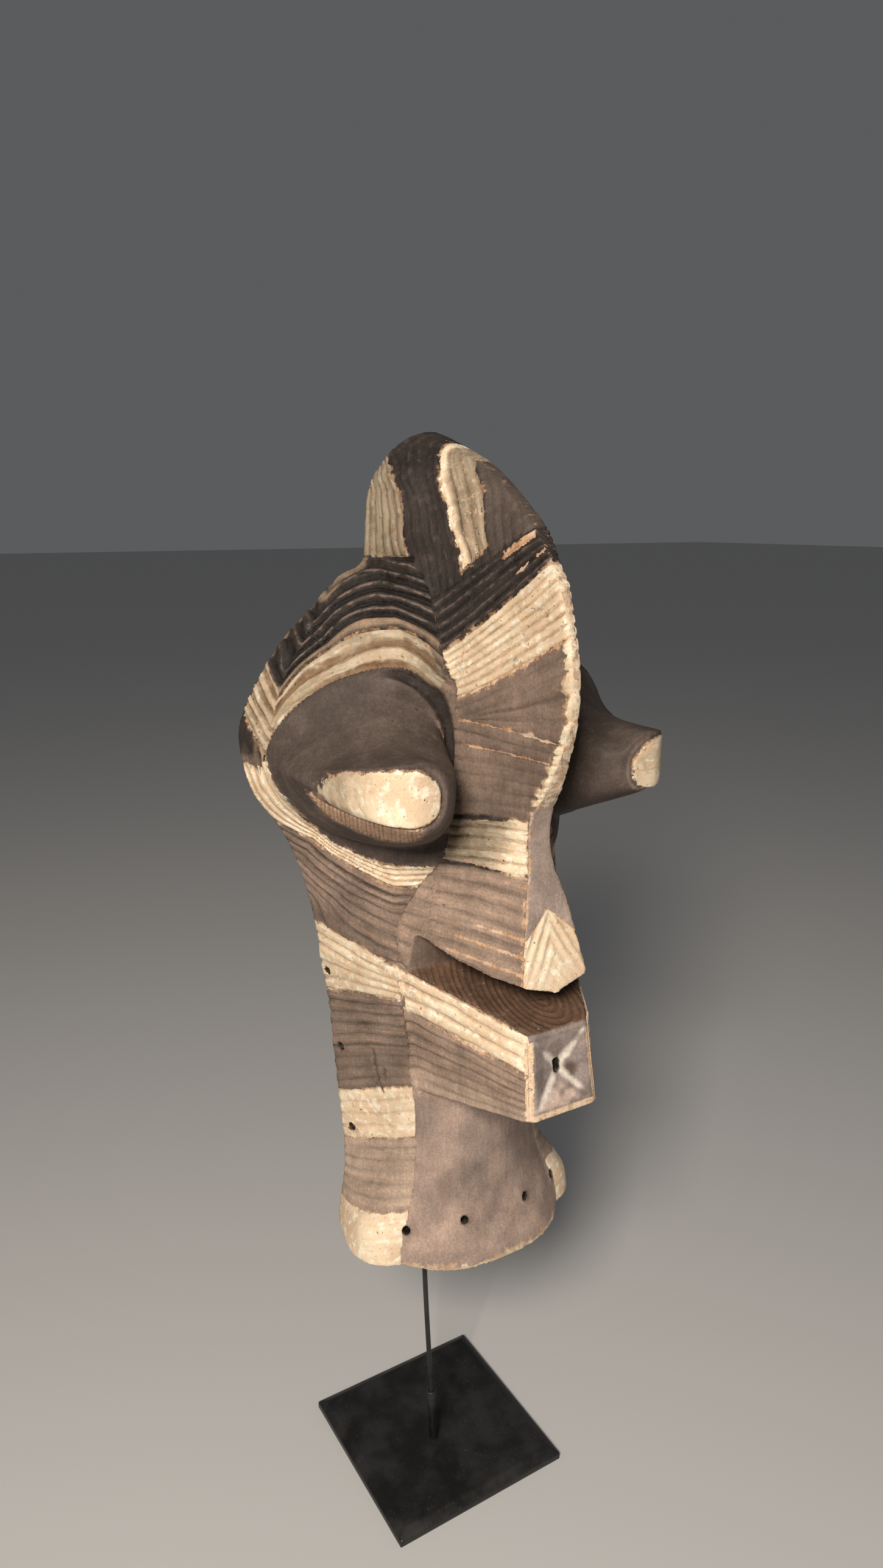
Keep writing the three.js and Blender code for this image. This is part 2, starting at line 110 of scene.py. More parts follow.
# Eyes, as in the CAD: outlines seen from the front on the -X side
EYE_CENTRE = np.array([-54, 527])
EYE_TIP_CENTRE = np.array([-73, 524])
EYE_TIP_Y = -113
EYE_TIP_TURN_X = -74
EYE_TIP_TURN = 0.04
EYE_TIP_INNER_TURN = 0.008
EYE_BASE = {"outer": 64, "inner": 26, "top": 51, "bottom": 52, "corner": 1.7}
EYE_TIP = {"outer": 41, "inner": 17, "top": 16, "bottom": 17, "corner": 1.5}
EYE_ROUNDNESS = {"upper": 2, "lower": 3}
EYE_FLARE = {"inner": 0.45, "top": 4, "outer": 1, "shoulder": 5}
EYE_LID_FLARE = {1: 0.5, -1: 0.85}
EYE_AROUND = 200
EYE_STEPS = 60
EYE_INSIDE_Y = -14
EYE_BASE_OUTER = (-118, -16)
EYE_BASE_INNER = (-28, -57)
EYE_TIP_SHARES = np.linspace(0.9, 0.1, 9)

# Mouth, slot and holes, as in the CAD
MOUTH_END_TOP = (21, -132, 389)
MOUTH_END_BOTTOM = (24, -139, 340)
MOUTH_ROOT_TOP = (60, -57, 409)
MOUTH_ROOT_BOTTOM = (44, -49, 321)
MOUTH_INSIDE_Y = -40
MOUTH_STEPS = 10
MOUTH_FRAME = 4
MOUTH_SINK = 6
# Width of the sunk cross at its floor, as a share of its rim
SINK_FLOOR = 0.02
MOUTH_HOLE = (4, 24, 9)
SLOT_BACK_Y = -64
SLOT_HALF_WIDTH = 66
SLOT_RISE = 15
NOSE_POINT = 7
SLOT_DEPTHS = (-110, -86)
SLOT_PIERCE = {"half_width": 24, "narrow": 17, "height": 9, "z": 417, "length": 40}
TIE_HOLE_RADIUS = 2.4
HOLE_SIDES = 20
CHIN_DRILL = 36
SIDE_DRILL = 180
CHIN_HOLES = ((22, -71, 238, 12), (55, -58, 233, 40))
SIDE_HOLES = ((-5, 279), (-3, 336), (-2, 388))

VOXEL = 1.0
MASK_TRIANGLES = 190000
CREAM_REACH = 3


def column_at(table, column, heights):
    """Smooth value of one column of a table at given heights, without overshoot."""
    z, v = table[:, 0], table[:, column]
    slope = np.diff(v) / np.diff(z)
    before, after = slope[:-1], slope[1:]
    rising = before * after > 0
    total = np.where(rising, before + after, 1)
    inner = np.where(rising, 2 * before * after / total, 0)
    tangent = np.concatenate([slope[:1], inner, slope[-1:]])
    h = np.clip(heights, z[0], z[-1])
    row = np.clip(np.searchsorted(z, h) - 1, 0, len(z) - 2)
    span = z[row + 1] - z[row]
    t = (h - z[row]) / span
    a, b = v[row], v[row + 1]
    ma, mb = tangent[row] * span, tangent[row + 1] * span
    return a + t * (ma + t * (3 * (b - a) - 2 * ma - mb + t * (2 * (a - b) + ma + mb)))


def levels(table, step):
    """Heights of the table, with steps of at most step between them."""
    heights = [table[0, 0]]
    for low, high in zip(table[:-1, 0], table[1:, 0]):
        parts = math.ceil((high - low) / step)
        heights.extend(low + (high - low) * np.arange(1, parts + 1) / parts)
    return np.array(heights)


def pair(x, y):
    x, y = np.broadcast_arrays(np.asarray(x, float), np.asarray(y, float))
    return np.stack([x, y], -1)


def angles_round(count):
    return 2 * np.pi * np.arange(count) / count


def mixed(a, b, share):
    return np.asarray(a) + np.subtract(b, a) * share


def stretch(a, b, bow, count):
    """Points from a to b at every level, bowed to the left, without the last point."""
    across = np.stack([-(b - a)[:, 1], (b - a)[:, 0]], -1)
    across /= np.linalg.norm(across, axis=1, keepdims=True)
    control = (a + b) / 2 - across * 2 * np.broadcast_to(bow, len(a))[:, None]
    t = (np.arange(count) / count)[None, :, None]
    a, b, control = a[:, None], b[:, None], control[:, None]
    return (1 - t) ** 2 * a + 2 * t * (1 - t) * control + t ** 2 * b


def body_rings(points, bows, counts, z):
    """Rings through points of one half, from front to back, and through their mirror images."""
    parts = [stretch(*part) for part in zip(points[:-1], points[1:], bows, counts)]
    half = np.concatenate(parts + [points[-1][:, None]], 1)
    height = np.broadcast_to(z[:, None, None], half.shape[:2] + (1,))
    right = np.concatenate([half, height], -1)
    left = right[:, ::-1] * (-1, 1, 1)
    return np.concatenate([right, left], 1)


def outer_rings():
    z = levels(SECTIONS, LEVEL_STEP)
    s = [column_at(SECTIONS, column, z) for column in range(SECTIONS.shape[1])]
    points = (pair(s[EDGE_X], s[EDGE_Y]), pair(s[VALLEY_X], s[VALLEY_Y]),
              pair(s[SIDE_X], s[SIDE_Y]), pair(s[BACK_X], BACK_Y))
    return body_rings(points, (s[FRONT_BOW], s[MID_BOW], SIDE_BOW), OUTER_COUNTS, z)


def hollow_rings():
    z = levels(HOLLOW, LEVEL_STEP)
    _, edge_y, valley_x, valley_y, side_x, side_y, back_x = [
        column_at(HOLLOW, column, z) for column in range(HOLLOW.shape[1])]
    points = (pair(HOLLOW_FRONT_X, edge_y), pair(valley_x, valley_y), pair(side_x, side_y),
              pair(back_x, BACK_Y + WALL))
    return body_rings(points, (*HOLLOW_BOWS, SIDE_BOW), HOLLOW_COUNTS, z)


def field_of(items, field, width, kind=float):
    """One field of each of a mesh's items, in rows of a width."""
    values = np.empty(len(items) * width, kind)
    items.foreach_get(field, values)
    return values.reshape(-1, width)


def new_object(name, vertices, faces):
    """Object of a mesh given in millimetres, with its faces turned outwards."""
    mesh = bpy.data.meshes.new(name)
    mesh.from_pydata((np.asarray(vertices, float) * MM).tolist(), [], faces)
    piece = bpy.data.objects.new(name, mesh)
    bpy.context.scene.collection.objects.link(piece)
    mesh.calc_loop_triangles()
    places = field_of(mesh.vertices, "co", 3)
    a, b, c = places[field_of(mesh.loop_triangles, "vertices", 3, int)].transpose(1, 0, 2)
    if np.einsum("ij,ij->i", a, np.cross(b, c)).sum() < 0:
        mesh.flip_normals()
    return piece


def ring_object(name, rings):
    """Closed object through rings of equal length, each end closed by its middle."""
    rings = np.asarray(rings, float)
    count, around, _ = rings.shape
    ends = rings[[0, -1]].mean(axis=1)
    i, j = np.meshgrid(np.arange(count - 1), np.arange(around), indexing="ij")
    a = i * around + j
    b = i * around + (j + 1) % around
    faces = np.stack([a, b, b + around, a + around], -1).reshape(-1, 4).tolist()
    first = np.arange(around)
    last = first + (count - 1) * around
    low, high = count * around, count * around + 1
    faces += np.stack([np.roll(first, -1), first, np.full(around, low)], -1).tolist()
    faces += np.stack([last, np.roll(last, -1), np.full(around, high)], -1).tolist()
    return new_object(name, np.vstack([rings.reshape(-1, 3), ends]), faces)


def outline_sizes(shape, inner, upper):
    """Half width, half height and power of an outline on the side of each point."""
    across = np.where(inner, shape["inner"], shape["outer"])
    along = np.where(upper, shape["top"], shape["bottom"])
    power = np.where(upper, EYE_ROUNDNESS["upper"], EYE_ROUNDNESS["lower"])
    return across, along, np.where(inner, power, shape["corner"])


def outline(shape, angle):
    """Points of a rounded outline about its centre, with its own reach on each side."""
    c, s = np.cos(angle), np.sin(angle)
    across, along, power = outline_sizes(shape, c > 0, s > 0)
    power = 2 / power
    return pair(across * np.sign(c) * np.abs(c) ** power, along * np.sign(s) * np.abs(s) ** power)


def eye_tip_y(x):
    beyond = np.maximum(0, EYE_TIP_TURN_X - x)
    inside = np.maximum(0, x - EYE_TIP_TURN_X)
    return EYE_TIP_Y + EYE_TIP_TURN * beyond ** 2 + EYE_TIP_INNER_TURN * inside ** 2


def eye_base_y(x):
    share = (x - EYE_BASE_OUTER[0]) / (EYE_BASE_INNER[0] - EYE_BASE_OUTER[0])
    return EYE_BASE_OUTER[1] + share * (EYE_BASE_INNER[1] - EYE_BASE_OUTER[1])


def eye_ring(t, lid_flare):
    """Ring around the cone, t = 0 where it leaves the face and 1 at the rim of its tip."""
    angle = angles_round(EYE_AROUND)
    c, s = np.cos(angle), np.sin(angle)
    across = np.where(c > 0, EYE_FLARE["inner"], EYE_FLARE["outer"])
    along = np.where(s > 0, EYE_FLARE["top"], lid_flare)
    shoulder = EYE_FLARE["shoulder"] * np.maximum(0, s) * np.maximum(0, -c)
    flare = ((1 - t) ** (across * c * c + along * s * s + shoulder))[:, None]
    tip = outline(EYE_TIP, angle) + EYE_TIP_CENTRE
    base = outline(EYE_BASE, angle) + EYE_CENTRE
    x, z = (tip + (base - tip) * flare).T
    y = eye_base_y(x) + t * (eye_tip_y(x) - eye_base_y(x))
    return np.stack([x, y, z], -1)


def eye_tip_ring(share):
    x, _, z = eye_ring(1, 1).T
    x = EYE_TIP_CENTRE[0] + (x - EYE_TIP_CENTRE[0]) * share
    z = EYE_TIP_CENTRE[1] + (z - EYE_TIP_CENTRE[1]) * share
    return np.stack([x, eye_tip_y(x), z], -1)


def eye_object(mirror):
    lid_flare = EYE_LID_FLARE[mirror]
    rings = [eye_ring(0, lid_flare)]
    rings[0][:, 1] = EYE_INSIDE_Y
    rings += [eye_ring(step / EYE_STEPS, lid_flare) for step in range(EYE_STEPS + 1)]
    rings += [eye_tip_ring(share) for share in EYE_TIP_SHARES]
    return ring_object("eye", np.array(rings) * (mirror, 1, 1))


def mouth_frame(top, bottom):
    t = (np.arange(MOUTH_STEPS + 1) / MOUTH_STEPS)[:, None]
    right = np.array(top) + t * (np.array(bottom) - top)
    return np.concatenate([right, right[::-1] * (-1, 1, 1)])


def mouth_object():
    end = mouth_frame(MOUTH_END_TOP, MOUTH_END_BOTTOM)
    root = mouth_frame(MOUTH_ROOT_TOP, MOUTH_ROOT_BOTTOM)
    rings = [end + (root - end) * step / MOUTH_STEPS for step in range(MOUTH_STEPS + 1)]
    inside = root.copy()
    inside[:, 1] = MOUTH_INSIDE_Y
    return ring_object("mouth", rings + [inside])


def sink_corners():
    """Corners of the sunk cross in the mouth's end."""
    corners = []
    for (x, y, z), up in ((MOUTH_END_TOP, -1), (MOUTH_END_BOTTOM, 1)):
        for side in (1, -1):
            corners.append((-up * side * (x - MOUTH_FRAME), y, z + up * MOUTH_FRAME))
    return np.array(corners, float)


def box_object(centre, size):
    half = np.array(size) / 2
    rings = [np.column_stack([SQUARE, np.full(4, up)]) * half + centre for up in (-1, 1)]
    return ring_object("box", rings)


def sink_objects():
    corners = sink_corners()
    middle = corners.mean(axis=0)
    sunk = middle + (0, MOUTH_SINK, 0)
    rings = [sunk * (1 - SINK_FLOOR) + corners * SINK_FLOOR, corners, corners - (0, MOUTH_SINK, 0)]
    hole = box_object(middle + (0, MOUTH_HOLE[1] / 2, 0), MOUTH_HOLE)
    return [ring_object("sink", rings), hole]


def slot_objects():
    """Wedge between the underside of the nose and the mouth's top, and its way through."""
    front = MOUTH_END_BOTTOM[1] - WALL
    depths = np.array([front, MOUTH_END_TOP[1], *SLOT_DEPTHS, SLOT_BACK_Y], float)
    slope = (MOUTH_ROOT_TOP[2] - MOUTH_END_TOP[2]) / (MOUTH_ROOT_TOP[1] - MOUTH_END_TOP[1])
    mouth_top = MOUTH_END_TOP[2] + slope * (depths - MOUTH_END_TOP[1])
    back = np.maximum(0, depths - MOUTH_END_TOP[1]) / (SLOT_BACK_Y - MOUTH_END_TOP[1])
    nose_bottom = NOSE_BOTTOM_Z + SLOT_RISE * back ** 2
    rings = []
    for x in (SLOT_HALF_WIDTH, MOUTH_END_TOP[0], 0, -MOUTH_END_TOP[0], -SLOT_HALF_WIDTH):
        drop = NOSE_POINT * max(0, 1 - abs(x) / MOUTH_END_TOP[0])
        above = np.column_stack([np.full(len(depths), x), depths, nose_bottom - drop])
        below = np.column_stack([np.full(len(depths), x), depths, mouth_top])[::-1]
        rings.append(np.concatenate([above, below]))
    size = SLOT_PIERCE
    angle = angles_round(2 * HOLE_SIDES)
    pierce = []
    for radius, y in ((size["narrow"], -0.5), (size["half_width"], 0.5)):
        squeeze = size["height"] / (2 * size["half_width"])
        pierce.append(np.column_stack([
            radius * np.cos(angle),
            np.full(len(angle), SLOT_BACK_Y + y * size["length"]),
            size["z"] + radius * squeeze * np.sin(angle),
        ]))
    return [ring_object("slot", rings), ring_object("pierce", pierce)]


def drill_object(radius, centre, direction, length):
    """Round drill through a point, along a horizontal direction."""
    direction = np.array(direction, float) / np.linalg.norm(direction)
    sideways = np.array([-direction[1], direction[0], 0])
    angle = angles_round(HOLE_SIDES)
    circle = np.outer(np.cos(angle), sideways) + np.outer(np.sin(angle), (0, 0, 1))
    return ring_object("drill", [
        circle * radius + np.array(centre) + direction * length * end for end in (-0.5, 0.5)])


def tie_hole_objects():
    drills = []
    for x, y, z, turn in CHIN_HOLES:
        for side in (1, -1):
            turned = math.radians(turn)
            direction = (side * math.sin(turned), -math.cos(turned), 0)
            drills.append(drill_object(TIE_HOLE_RADIUS, (side * x, y, z), direction, CHIN_DRILL))
    for y, z in SIDE_HOLES:
        drills.append(drill_object(TIE_HOLE_RADIUS, (0, y, z), (1, 0, 0), SIDE_DRILL))
    return drills


def apply_modifiers(piece):
    """Replaces a piece's mesh by what its modifiers make of it."""
    graph = bpy.context.evaluated_depsgraph_get()
    made = bpy.data.meshes.new_from_object(piece.evaluated_get(graph))
    old = piece.data
    piece.modifiers.clear()
    piece.data = made
    bpy.data.meshes.remove(old)


def combine(piece, others, operation):
    """Joins other solids to a piece or cuts them from it, and removes them."""
    for other in others:
        step = piece.modifiers.new("combine", "BOOLEAN")
        step.operation = operation
        step.solver = "MANIFOLD"
        step.object = other
        apply_modifiers(piece)
        bpy.data.objects.remove(other)


def carve_blank():
    """The mask before its fine carving, as an even mesh."""
    blank = ring_object("mask", outer_rings())
    combine(blank, slot_objects(), "DIFFERENCE")
    combine(blank, [eye_object(1), eye_object(-1), mouth_object()], "UNION")
    combine(blank, sink_objects() + [ring_object("hollow", hollow_rings())], "DIFFERENCE")
    combine(blank, tie_hole_objects(), "DIFFERENCE")
    step = blank.modifiers.new("even", "REMESH")
    step.mode = "VOXEL"
    step.voxel_size = VOXEL * MM
    apply_modifiers(blank)
    return blank


# Carved bands. Places are millimetres on one half of the mask: x outwards from the
# middle, w forwards from the back plane's zero, z up.
CREST_FRONT_LINES = (
    # w and z of a point, rise of z per w, number of grooves above the line, in that order
    (58, 619, 0.64, 0),
    (66, 591, 0.80, 5),
    (73, 563, 0.57, 12),
    (84, 556, 0.50, 14),
    (95, 546, -0.08, 17),
    (71, 534, -0.03, 19),
    (71, 496, 0.06, 24),
    (75, 470, -0.04, 29),
    (75, 413, -0.12, 36),
)
CREST_REAR_HEIGHTS = (600, 637, 655, 668, 681, 693)
CREST_REAR_LINES = (
    # number of grooves behind the line, and its w at each of those heights
    (0, (-5, -5, -5, -5, -14, -30)),
    (6, (44, 25, 23, 17, 5, -11)),
    (12, (66, 60, 51, 42, 33, 22)),
    (15, (92, 79, 73, 67, 53, 36)),
    (21, (131, 114, 106, 98, 80, 56)),
)
EYE_MIDDLE = (54, 527)
ARCS_UPPER = 0.97
# Share of the way across the cream arcs above the eye, and the ridge count there
ARC_RIDGES = np.array([(0, 0.3), (0.08, 0.5), (0.36, 1), (0.63, 1.5), (0.9, 2), (1, 2.5)])
LOW_ARC_GROOVES = 3.5
LOW_ARC_PITCH = 5.2
LOW_ARC_START = 40
# Angle round the eye from its outer corner in degrees, and where the arcs start below it
ARCS_LOW = np.array([
    (-180, 26), (-135, 40), (-120, 54), (-107, 60.5), (-98, 61.3), (-84, 62.8),
    (-69, 59.5), (-49, 55.7), (-32, 57), (-15, 60.3), (0, 62),
])
# The same, and where the cream arcs end
ARCS_OUTER = np.array([
    (-150, 46), (-120, 60), (-107, 68), (-100, 71.6), (-88, 74), (-72, 66.2), (-53, 63.8),
    (-40, 70.5), (-30, 77), (-20, 82), (-3, 88), (0, 67), (34, 62), (66, 63.5), (76, 66.5),
    (85, 69), (95, 70.5), (106, 65.5), (118, 59.5), (135, 50), (150, 40),
])
# The same, and the distance between the dark ridges above the cream arcs
ARC_PITCHES = np.array([(34, 3.4), (55, 3.9), (66, 4.4), (76, 5.4), (90, 6.3), (110, 6.6)])
# Height and unrolled x of the line on which the arcs turn back up at the temple
TEMPLE_TURN = np.array([
    (500, 121), (527, 117.5), (546, 111), (562, 107), (575, 104), (584, 98), (593, 93.5),
    (600, 88), (611, 82), (621, 75), (630, 66),
])
TEMPLE_CREAM = (529, 562)
TEMPLE_DARK_Z = 522
TEMPLE_PITCH = 6.5
SHOULDER_Z = 609
# Height, and rise of the cheek's stripes towards the front
CHEEK_SLOPES = np.array([
    (230, 0.26), (280, 0.41), (315, 0.44), (380, 0.26), (405, -0.15), (430, -0.22),
])
CHEEK_BACK_Y = -25
# Level and groove count of the edges of the cheek's bands
CHEEK_LEVELS = np.array([
    (200, 0.5), (235, 5.5), (279, 11.5), (314, 15.5), (381.5, 24.5), (414, 29.5), (460, 36.5),
])
CHEEK_CREAM = ((381.5, 414), (279, 314), (190, 235))
CHEEK_TOP = (414, 440)
COLLAR_TOP_Z = 324
COLLAR_SHADE = (0.50, 0.56, 0.60)
COLLAR_LIGHT = (1.65, 1.60, 1.58)
NOSE_CREAM_Z = 452
NOSE_CHEVRON_RISE = 1.7
NOSE_CHEVRON_PITCH = 10.5
# Heights between which the crest's front strip is pale with cream; above them it keeps the crest's
# dark ground as painted shade, where the strip faces away from the light
EDGE_CREAM = (508, 628)
MOUTH_CREAM = (0.43, 0.33)
MOUTH_GROOVES = (0.5, 3.5, 10.5)
MOUTH_ROUND = 5
# Growth rings on the mouth's top: x and y of their middle, length per width, and pitch
LID_RINGS = (4, -108, 1.5, 3.4)
CROSS_PALE = (0.72, 0.64, 0.56)
CROSS_PINK = (0.54, 0.41, 0.34)
CROSS_BROWN = (0.11, 0.075, 0.06)
# Brown stain in the cross: x, share of the way down the end, and radius
CROSS_STAIN = (8, 0.56, 4)
# Angle round the eye in degrees, and where the crease beside the nose starts and ends
EYE_CREASE = np.array([
    (80, 0.90, 0.95), (92, 0.82, 0.96), (99, 0.79, 0.97), (107, 0.77, 0.99),
    (118, 0.80, 1.04), (134, 0.87, 1.09), (151, 0.96, 1.13), (172, 0.99, 1.14),
    (190, 0.99, 1.13), (215, 1.00, 1.10),
])
WHITE_CENTRE = (82, 520.5)
WHITE = {"outer": 26, "inner": 19.7, "top": 14.7, "bottom": 14, "corner": 2}
# x and height of the lower edge of the band of lashes below the white
LASHES = np.array([(72, 494), (78, 492), (86, 494.5), (97, 500), (104, 508), (109, 515)])
LASH_PITCH = 2.6
LASH_LEAN = 0.6
# Drying crack and its forks: y at the foot, height of foot and top, and y per z
CRACKS = ((-28.5, 320, 343, 0), (-31.5, 313, 321, 0.375), (-25.5, 317, 321, -0.75),
          (-33.5, 326, 332, -0.38))
HOLE_REACH = 1.8
# Place on the half section up to which the flanks of crest and nose reach, and their foot
VALLEY_PLACE = 1.02
FLANK_FOOT_Z = 405
BROW_TOP_Z = 633
NOSE_FRONT_Z = (404, 505)
NO_CREAM = -20.0
PLAIN_PITCH = 7
PLAIN_SHARE = 0.2
# Ragged rear edge of the nose's cream band: reach, and the w at which it starts and is full
NOSE_BAND_RAG = 6
NOSE_BAND_RAG_W = (102, 76)
# w at which the darkening of the rear of the nose's cream band starts and is full: dirt and the
# eye's painted cast shadow
NOSE_BAND_SOIL_AND_SHADE_W = (110, 84)
# Soil on the crest's front cream band: greatest, and how far in it starts and is full
CREST_SOIL = 0.85
CREST_SOIL_IN = (1.5, 7)
# Worn marks on the crest's flank: line, height over it at MARKS_W, rise per w, half width,
# limits of w, and wear
CREST_MARKS = (
    (0, -3, 0, 2.2, (87, 106), 1.0),
    (0, -17, 0.12, 1.1, (96, 104), 1.0),
    (0, -17, 0.12, 1.1, (108, 113), 1.0),
    (2, -0.6, 0, 1.2, (74, 200), 0.72),
    (4, 0, 0, 0.8, (66, 200), 0.8),
    (5, 0, 0, 0.8, (66, 200), 0.8),
)
MARKS_W = 99
# Rubbed ridges low on the nose's flank: top, half width, share left out, and start in w
RUBBED_TOP_Z = 464
RUBBED_HALF = 0.1
RUBBED_LEFT_OUT = 0.4
RUBBED_START_W = (80, 96)
# How far a point may lie from a face of the mouth's box, and inside of its corners
FACE_HALF = 1.6
FACE_INSET = 1.2
CREASE_SINK = 4.0
# Rounds of smoothing: places, normals, the wide form that edges rise over, and grounds
PLACE_ROUNDS = 3
NORMAL_ROUNDS = 4
BULGE_ROUNDS = 24
GROUND_ROUNDS = 2
LEAST_LOWERED = 0.02
CRACK_SINK = 1.2

# Noises of the carving: size of the bumps, seed, and number of layers where it isn't 3
FINE_NOISE = (7, 11)
BROAD_NOISE = (30, 21)
CHIP_NOISE = (5, 31)
TOOL_NOISE = (16, 41)
CROSS_NOISE = (6, 51)
CROSS_MOTTLE = (7, 53)
COLLAR_NOISE = (14, 61)
ADZE_NOISE = (9, 71, 2)

# What each layer of the carving sets: depth of the grooves, their share of the pitch, soil on
# the paint, wear, cream and ground
LAYERS = {
    "own": {},
    "bare": {"depth": 0, "cream": NO_CREAM},
    "clean": {"depth": 0, "cream": NO_CREAM, "wear": 0},
    "flank": {"depth": 1.05, "share": 0.26, "soil": 0.35},
    "fan": {"depth": 0.45, "share": 0.2, "ground": "fan"},
    "nose_flank": {"depth": 0.7, "ground": "dusty"},
    "crest": {"depth": 0.9, "share": 0.26, "ground": "dark"},
    "arcs": {"share": 0.36, "wear": -0.35},
    "half_worn": {"cream": -3, "ground": "tan"},
    "low_arcs": {"depth": 1.3, "share": 0.32, "ground": "cheek"},
    "temple": {"depth": 1.6, "share": 0.36},
    "cheek": {"share": 0.24, "soil": 0.3, "ground": "cheek"},
    "chin": {"depth": 0.15, "soil": 0.05},
    "chin_rim": {"soil": 0.5, "wear": 0.4},
    "nose_front": {"share": 0.45, "soil": 0.1, "wear": 0, "ground": "front"},
    "mouth_side": {"depth": 1.0, "share": 0.28, "soil": 0, "wear": 0, "ground": "dusty"},
    "lid": {"depth": 0.55, "share": 0.4, "wear": 0.3, "cream": NO_CREAM, "ground": "lid"},
    "underside": {"depth": 0.4, "cream": NO_CREAM, "ground": "collar"},
    "mouth_rim": {"depth": 0, "cream": 0.6, "soil": 0},
    "lashes": {"depth": 0.6, "share": 0.25, "cream": NO_CREAM, "ground": "lashes"},
    # painted shade: the crease beside the eye's cone gets the dark ground
    "painted_shade_crease": {"depth": 0, "cream": NO_CREAM, "wear": -0.3, "ground": "dark"},
}

# Colours of the finish, linear; the rosy ones and the groove's are factors
FINISH = {
    "dust": (0.36, 0.28, 0.225),
    # ridge: lighter tone on the ridges, rubbed wear and painted highlight
    "ridge": (0.135, 0.112, 0.100),
    "rosy": (1.22, 1.15, 1.10),
    "rosier": (1.50, 1.24, 1.10),
    "bare_dark": (0.38, 0.20, 0.105),
    "bare_light": (0.64, 0.40, 0.235),
    "bare_pale": (0.68, 0.52, 0.38),
    "fringe": (0.42, 0.21, 0.10),
    "chalk": (0.84, 0.68, 0.49),
    "old_chalk": (0.72, 0.53, 0.36),
    "white_chalk": (0.92, 0.82, 0.65),
    "stain": (0.34, 0.26, 0.155),
    "fleck": (0.42, 0.27, 0.15),
    # groove: factor for the cream in its grooves, dirt and painted shade
    "groove": (0.38, 0.27, 0.19),
}
STEEL = ((0.018, 0.017, 0.017), (0.04, 0.038, 0.037))
STEEL_DUST = (0.22, 0.21, 0.2)

# Grounds under the cream paint, linear colours
GROUNDS = {
    # dark: the black paint; also used as painted shade in the crease beside the eye
    "dark": (0.030, 0.023, 0.020),
    "cone": (0.078, 0.058, 0.048),
    "fan": (0.172, 0.122, 0.094),
    "cheek": (0.195, 0.141, 0.109),
    "dusty": (0.285, 0.203, 0.154),
    "pale": (0.400, 0.298, 0.228),
    "collar": (0.290, 0.212, 0.172),
    "edge": (0.420, 0.300, 0.235),
    "front": (0.330, 0.255, 0.215),
    "tan": (0.215, 0.155, 0.105),
    "lid": (0.125, 0.070, 0.043),
    # slot: painted shade for the gap between nose and mouth; also the dark of the drying crack
    "slot": (0.090, 0.058, 0.043),
    "inside": (0.130, 0.087, 0.062),
    # hole: near black, painted shade on the walls of the tie holes and the mouth's hole
    "hole": (0.010, 0.007, 0.005),
    "lashes": (0.400, 0.260, 0.175),
    "mouth": (0.310, 0.250, 0.228),
}


def value_noise(places, size, seed):
    """Smooth noise from 0 to 1 with bumps of a given size."""
    rng = np.random.default_rng(seed)
    table = rng.random((32, 32, 32))
    p = places / size
    base = np.floor(p).astype(int)
    f = p - base
    f = f * f * (3 - 2 * f)
    total = np.zeros(len(places))
    for corner in range(8):
        step = np.array([corner & 1, corner >> 1 & 1, corner >> 2 & 1])
        weight = np.where(step, f, 1 - f).prod(axis=1)
        i, j, k = ((base + step) % 32).T
        total += weight * table[i, j, k]
    return total


def layered_noise(places, size, seed, layers=3):
    total = sum(value_noise(places, size / 2 ** k, seed + k) / 2 ** k for k in range(layers))
    return total / sum(1 / 2 ** k for k in range(layers))


def smooth_step(low, high, value):
    t = np.clip((value - low) / (high - low), 0, 1)
    return t * t * (3 - 2 * t)


def along_table(table, value):
    return np.interp(value, table[:, 0], table[:, 1])


def chance(whole):
    """Number from 0 to 1 that looks random, the same for the same whole number."""
    return np.sin(whole * 12.99 + 4.1) * 437.58 % 1


def section_place(table, columns, x, y, z):
    """Place along the half section (0 to 3), distance from it, and unrolled x."""
    points = [pair(column_at(table, a, z), column_at(table, b, z) if b else BACK_Y)
              for a, b in columns]
    p = pair(x, y)
    best = np.full(len(x), np.inf)
    place = np.zeros(len(x))
    for k in range(3):
        a, b = points[k], points[k + 1]
        along = b - a
        share = np.clip(((p - a) * along).sum(1) / (along ** 2).sum(1), 0, 1)
        gap = np.linalg.norm(p - a - along * share[:, None], axis=1)
        nearer = gap < best
        best = np.where(nearer, gap, best)
        place = np.where(nearer, k + share, place)
    side, back = points[2], points[3]
    beyond = np.clip(place - 2, 0, 1) * np.linalg.norm(back - side, axis=1)
    unrolled = np.where(place > 2, side[:, 0] + beyond, x)
    return place, best, unrolled


def outline_reach(shape, dx, dz):
    """How far out a point lies, 1 on the outline, with x growing outwards."""
    across, along, power = outline_sizes(shape, dx < 0, dz > 0)
    return ((np.abs(dx) / across) ** power + (np.abs(dz) / along) ** power) ** (1 / power)


def between_lines(at, counts, across):
    """Groove count across a fan of lines, each with its place and its own count."""
    count = np.full(len(across), counts[0] + 0.5)
    for low, high, first, last in zip(at[:-1], at[1:], counts[:-1], counts[1:]):
        share = np.clip((across - low) / (high - low), 0, 1)
        count += share * (last - first)
    before = np.abs(across - at[0]) * ((across - at[0]) * (at[1] - at[0]) < 0)
    return count - before / 6


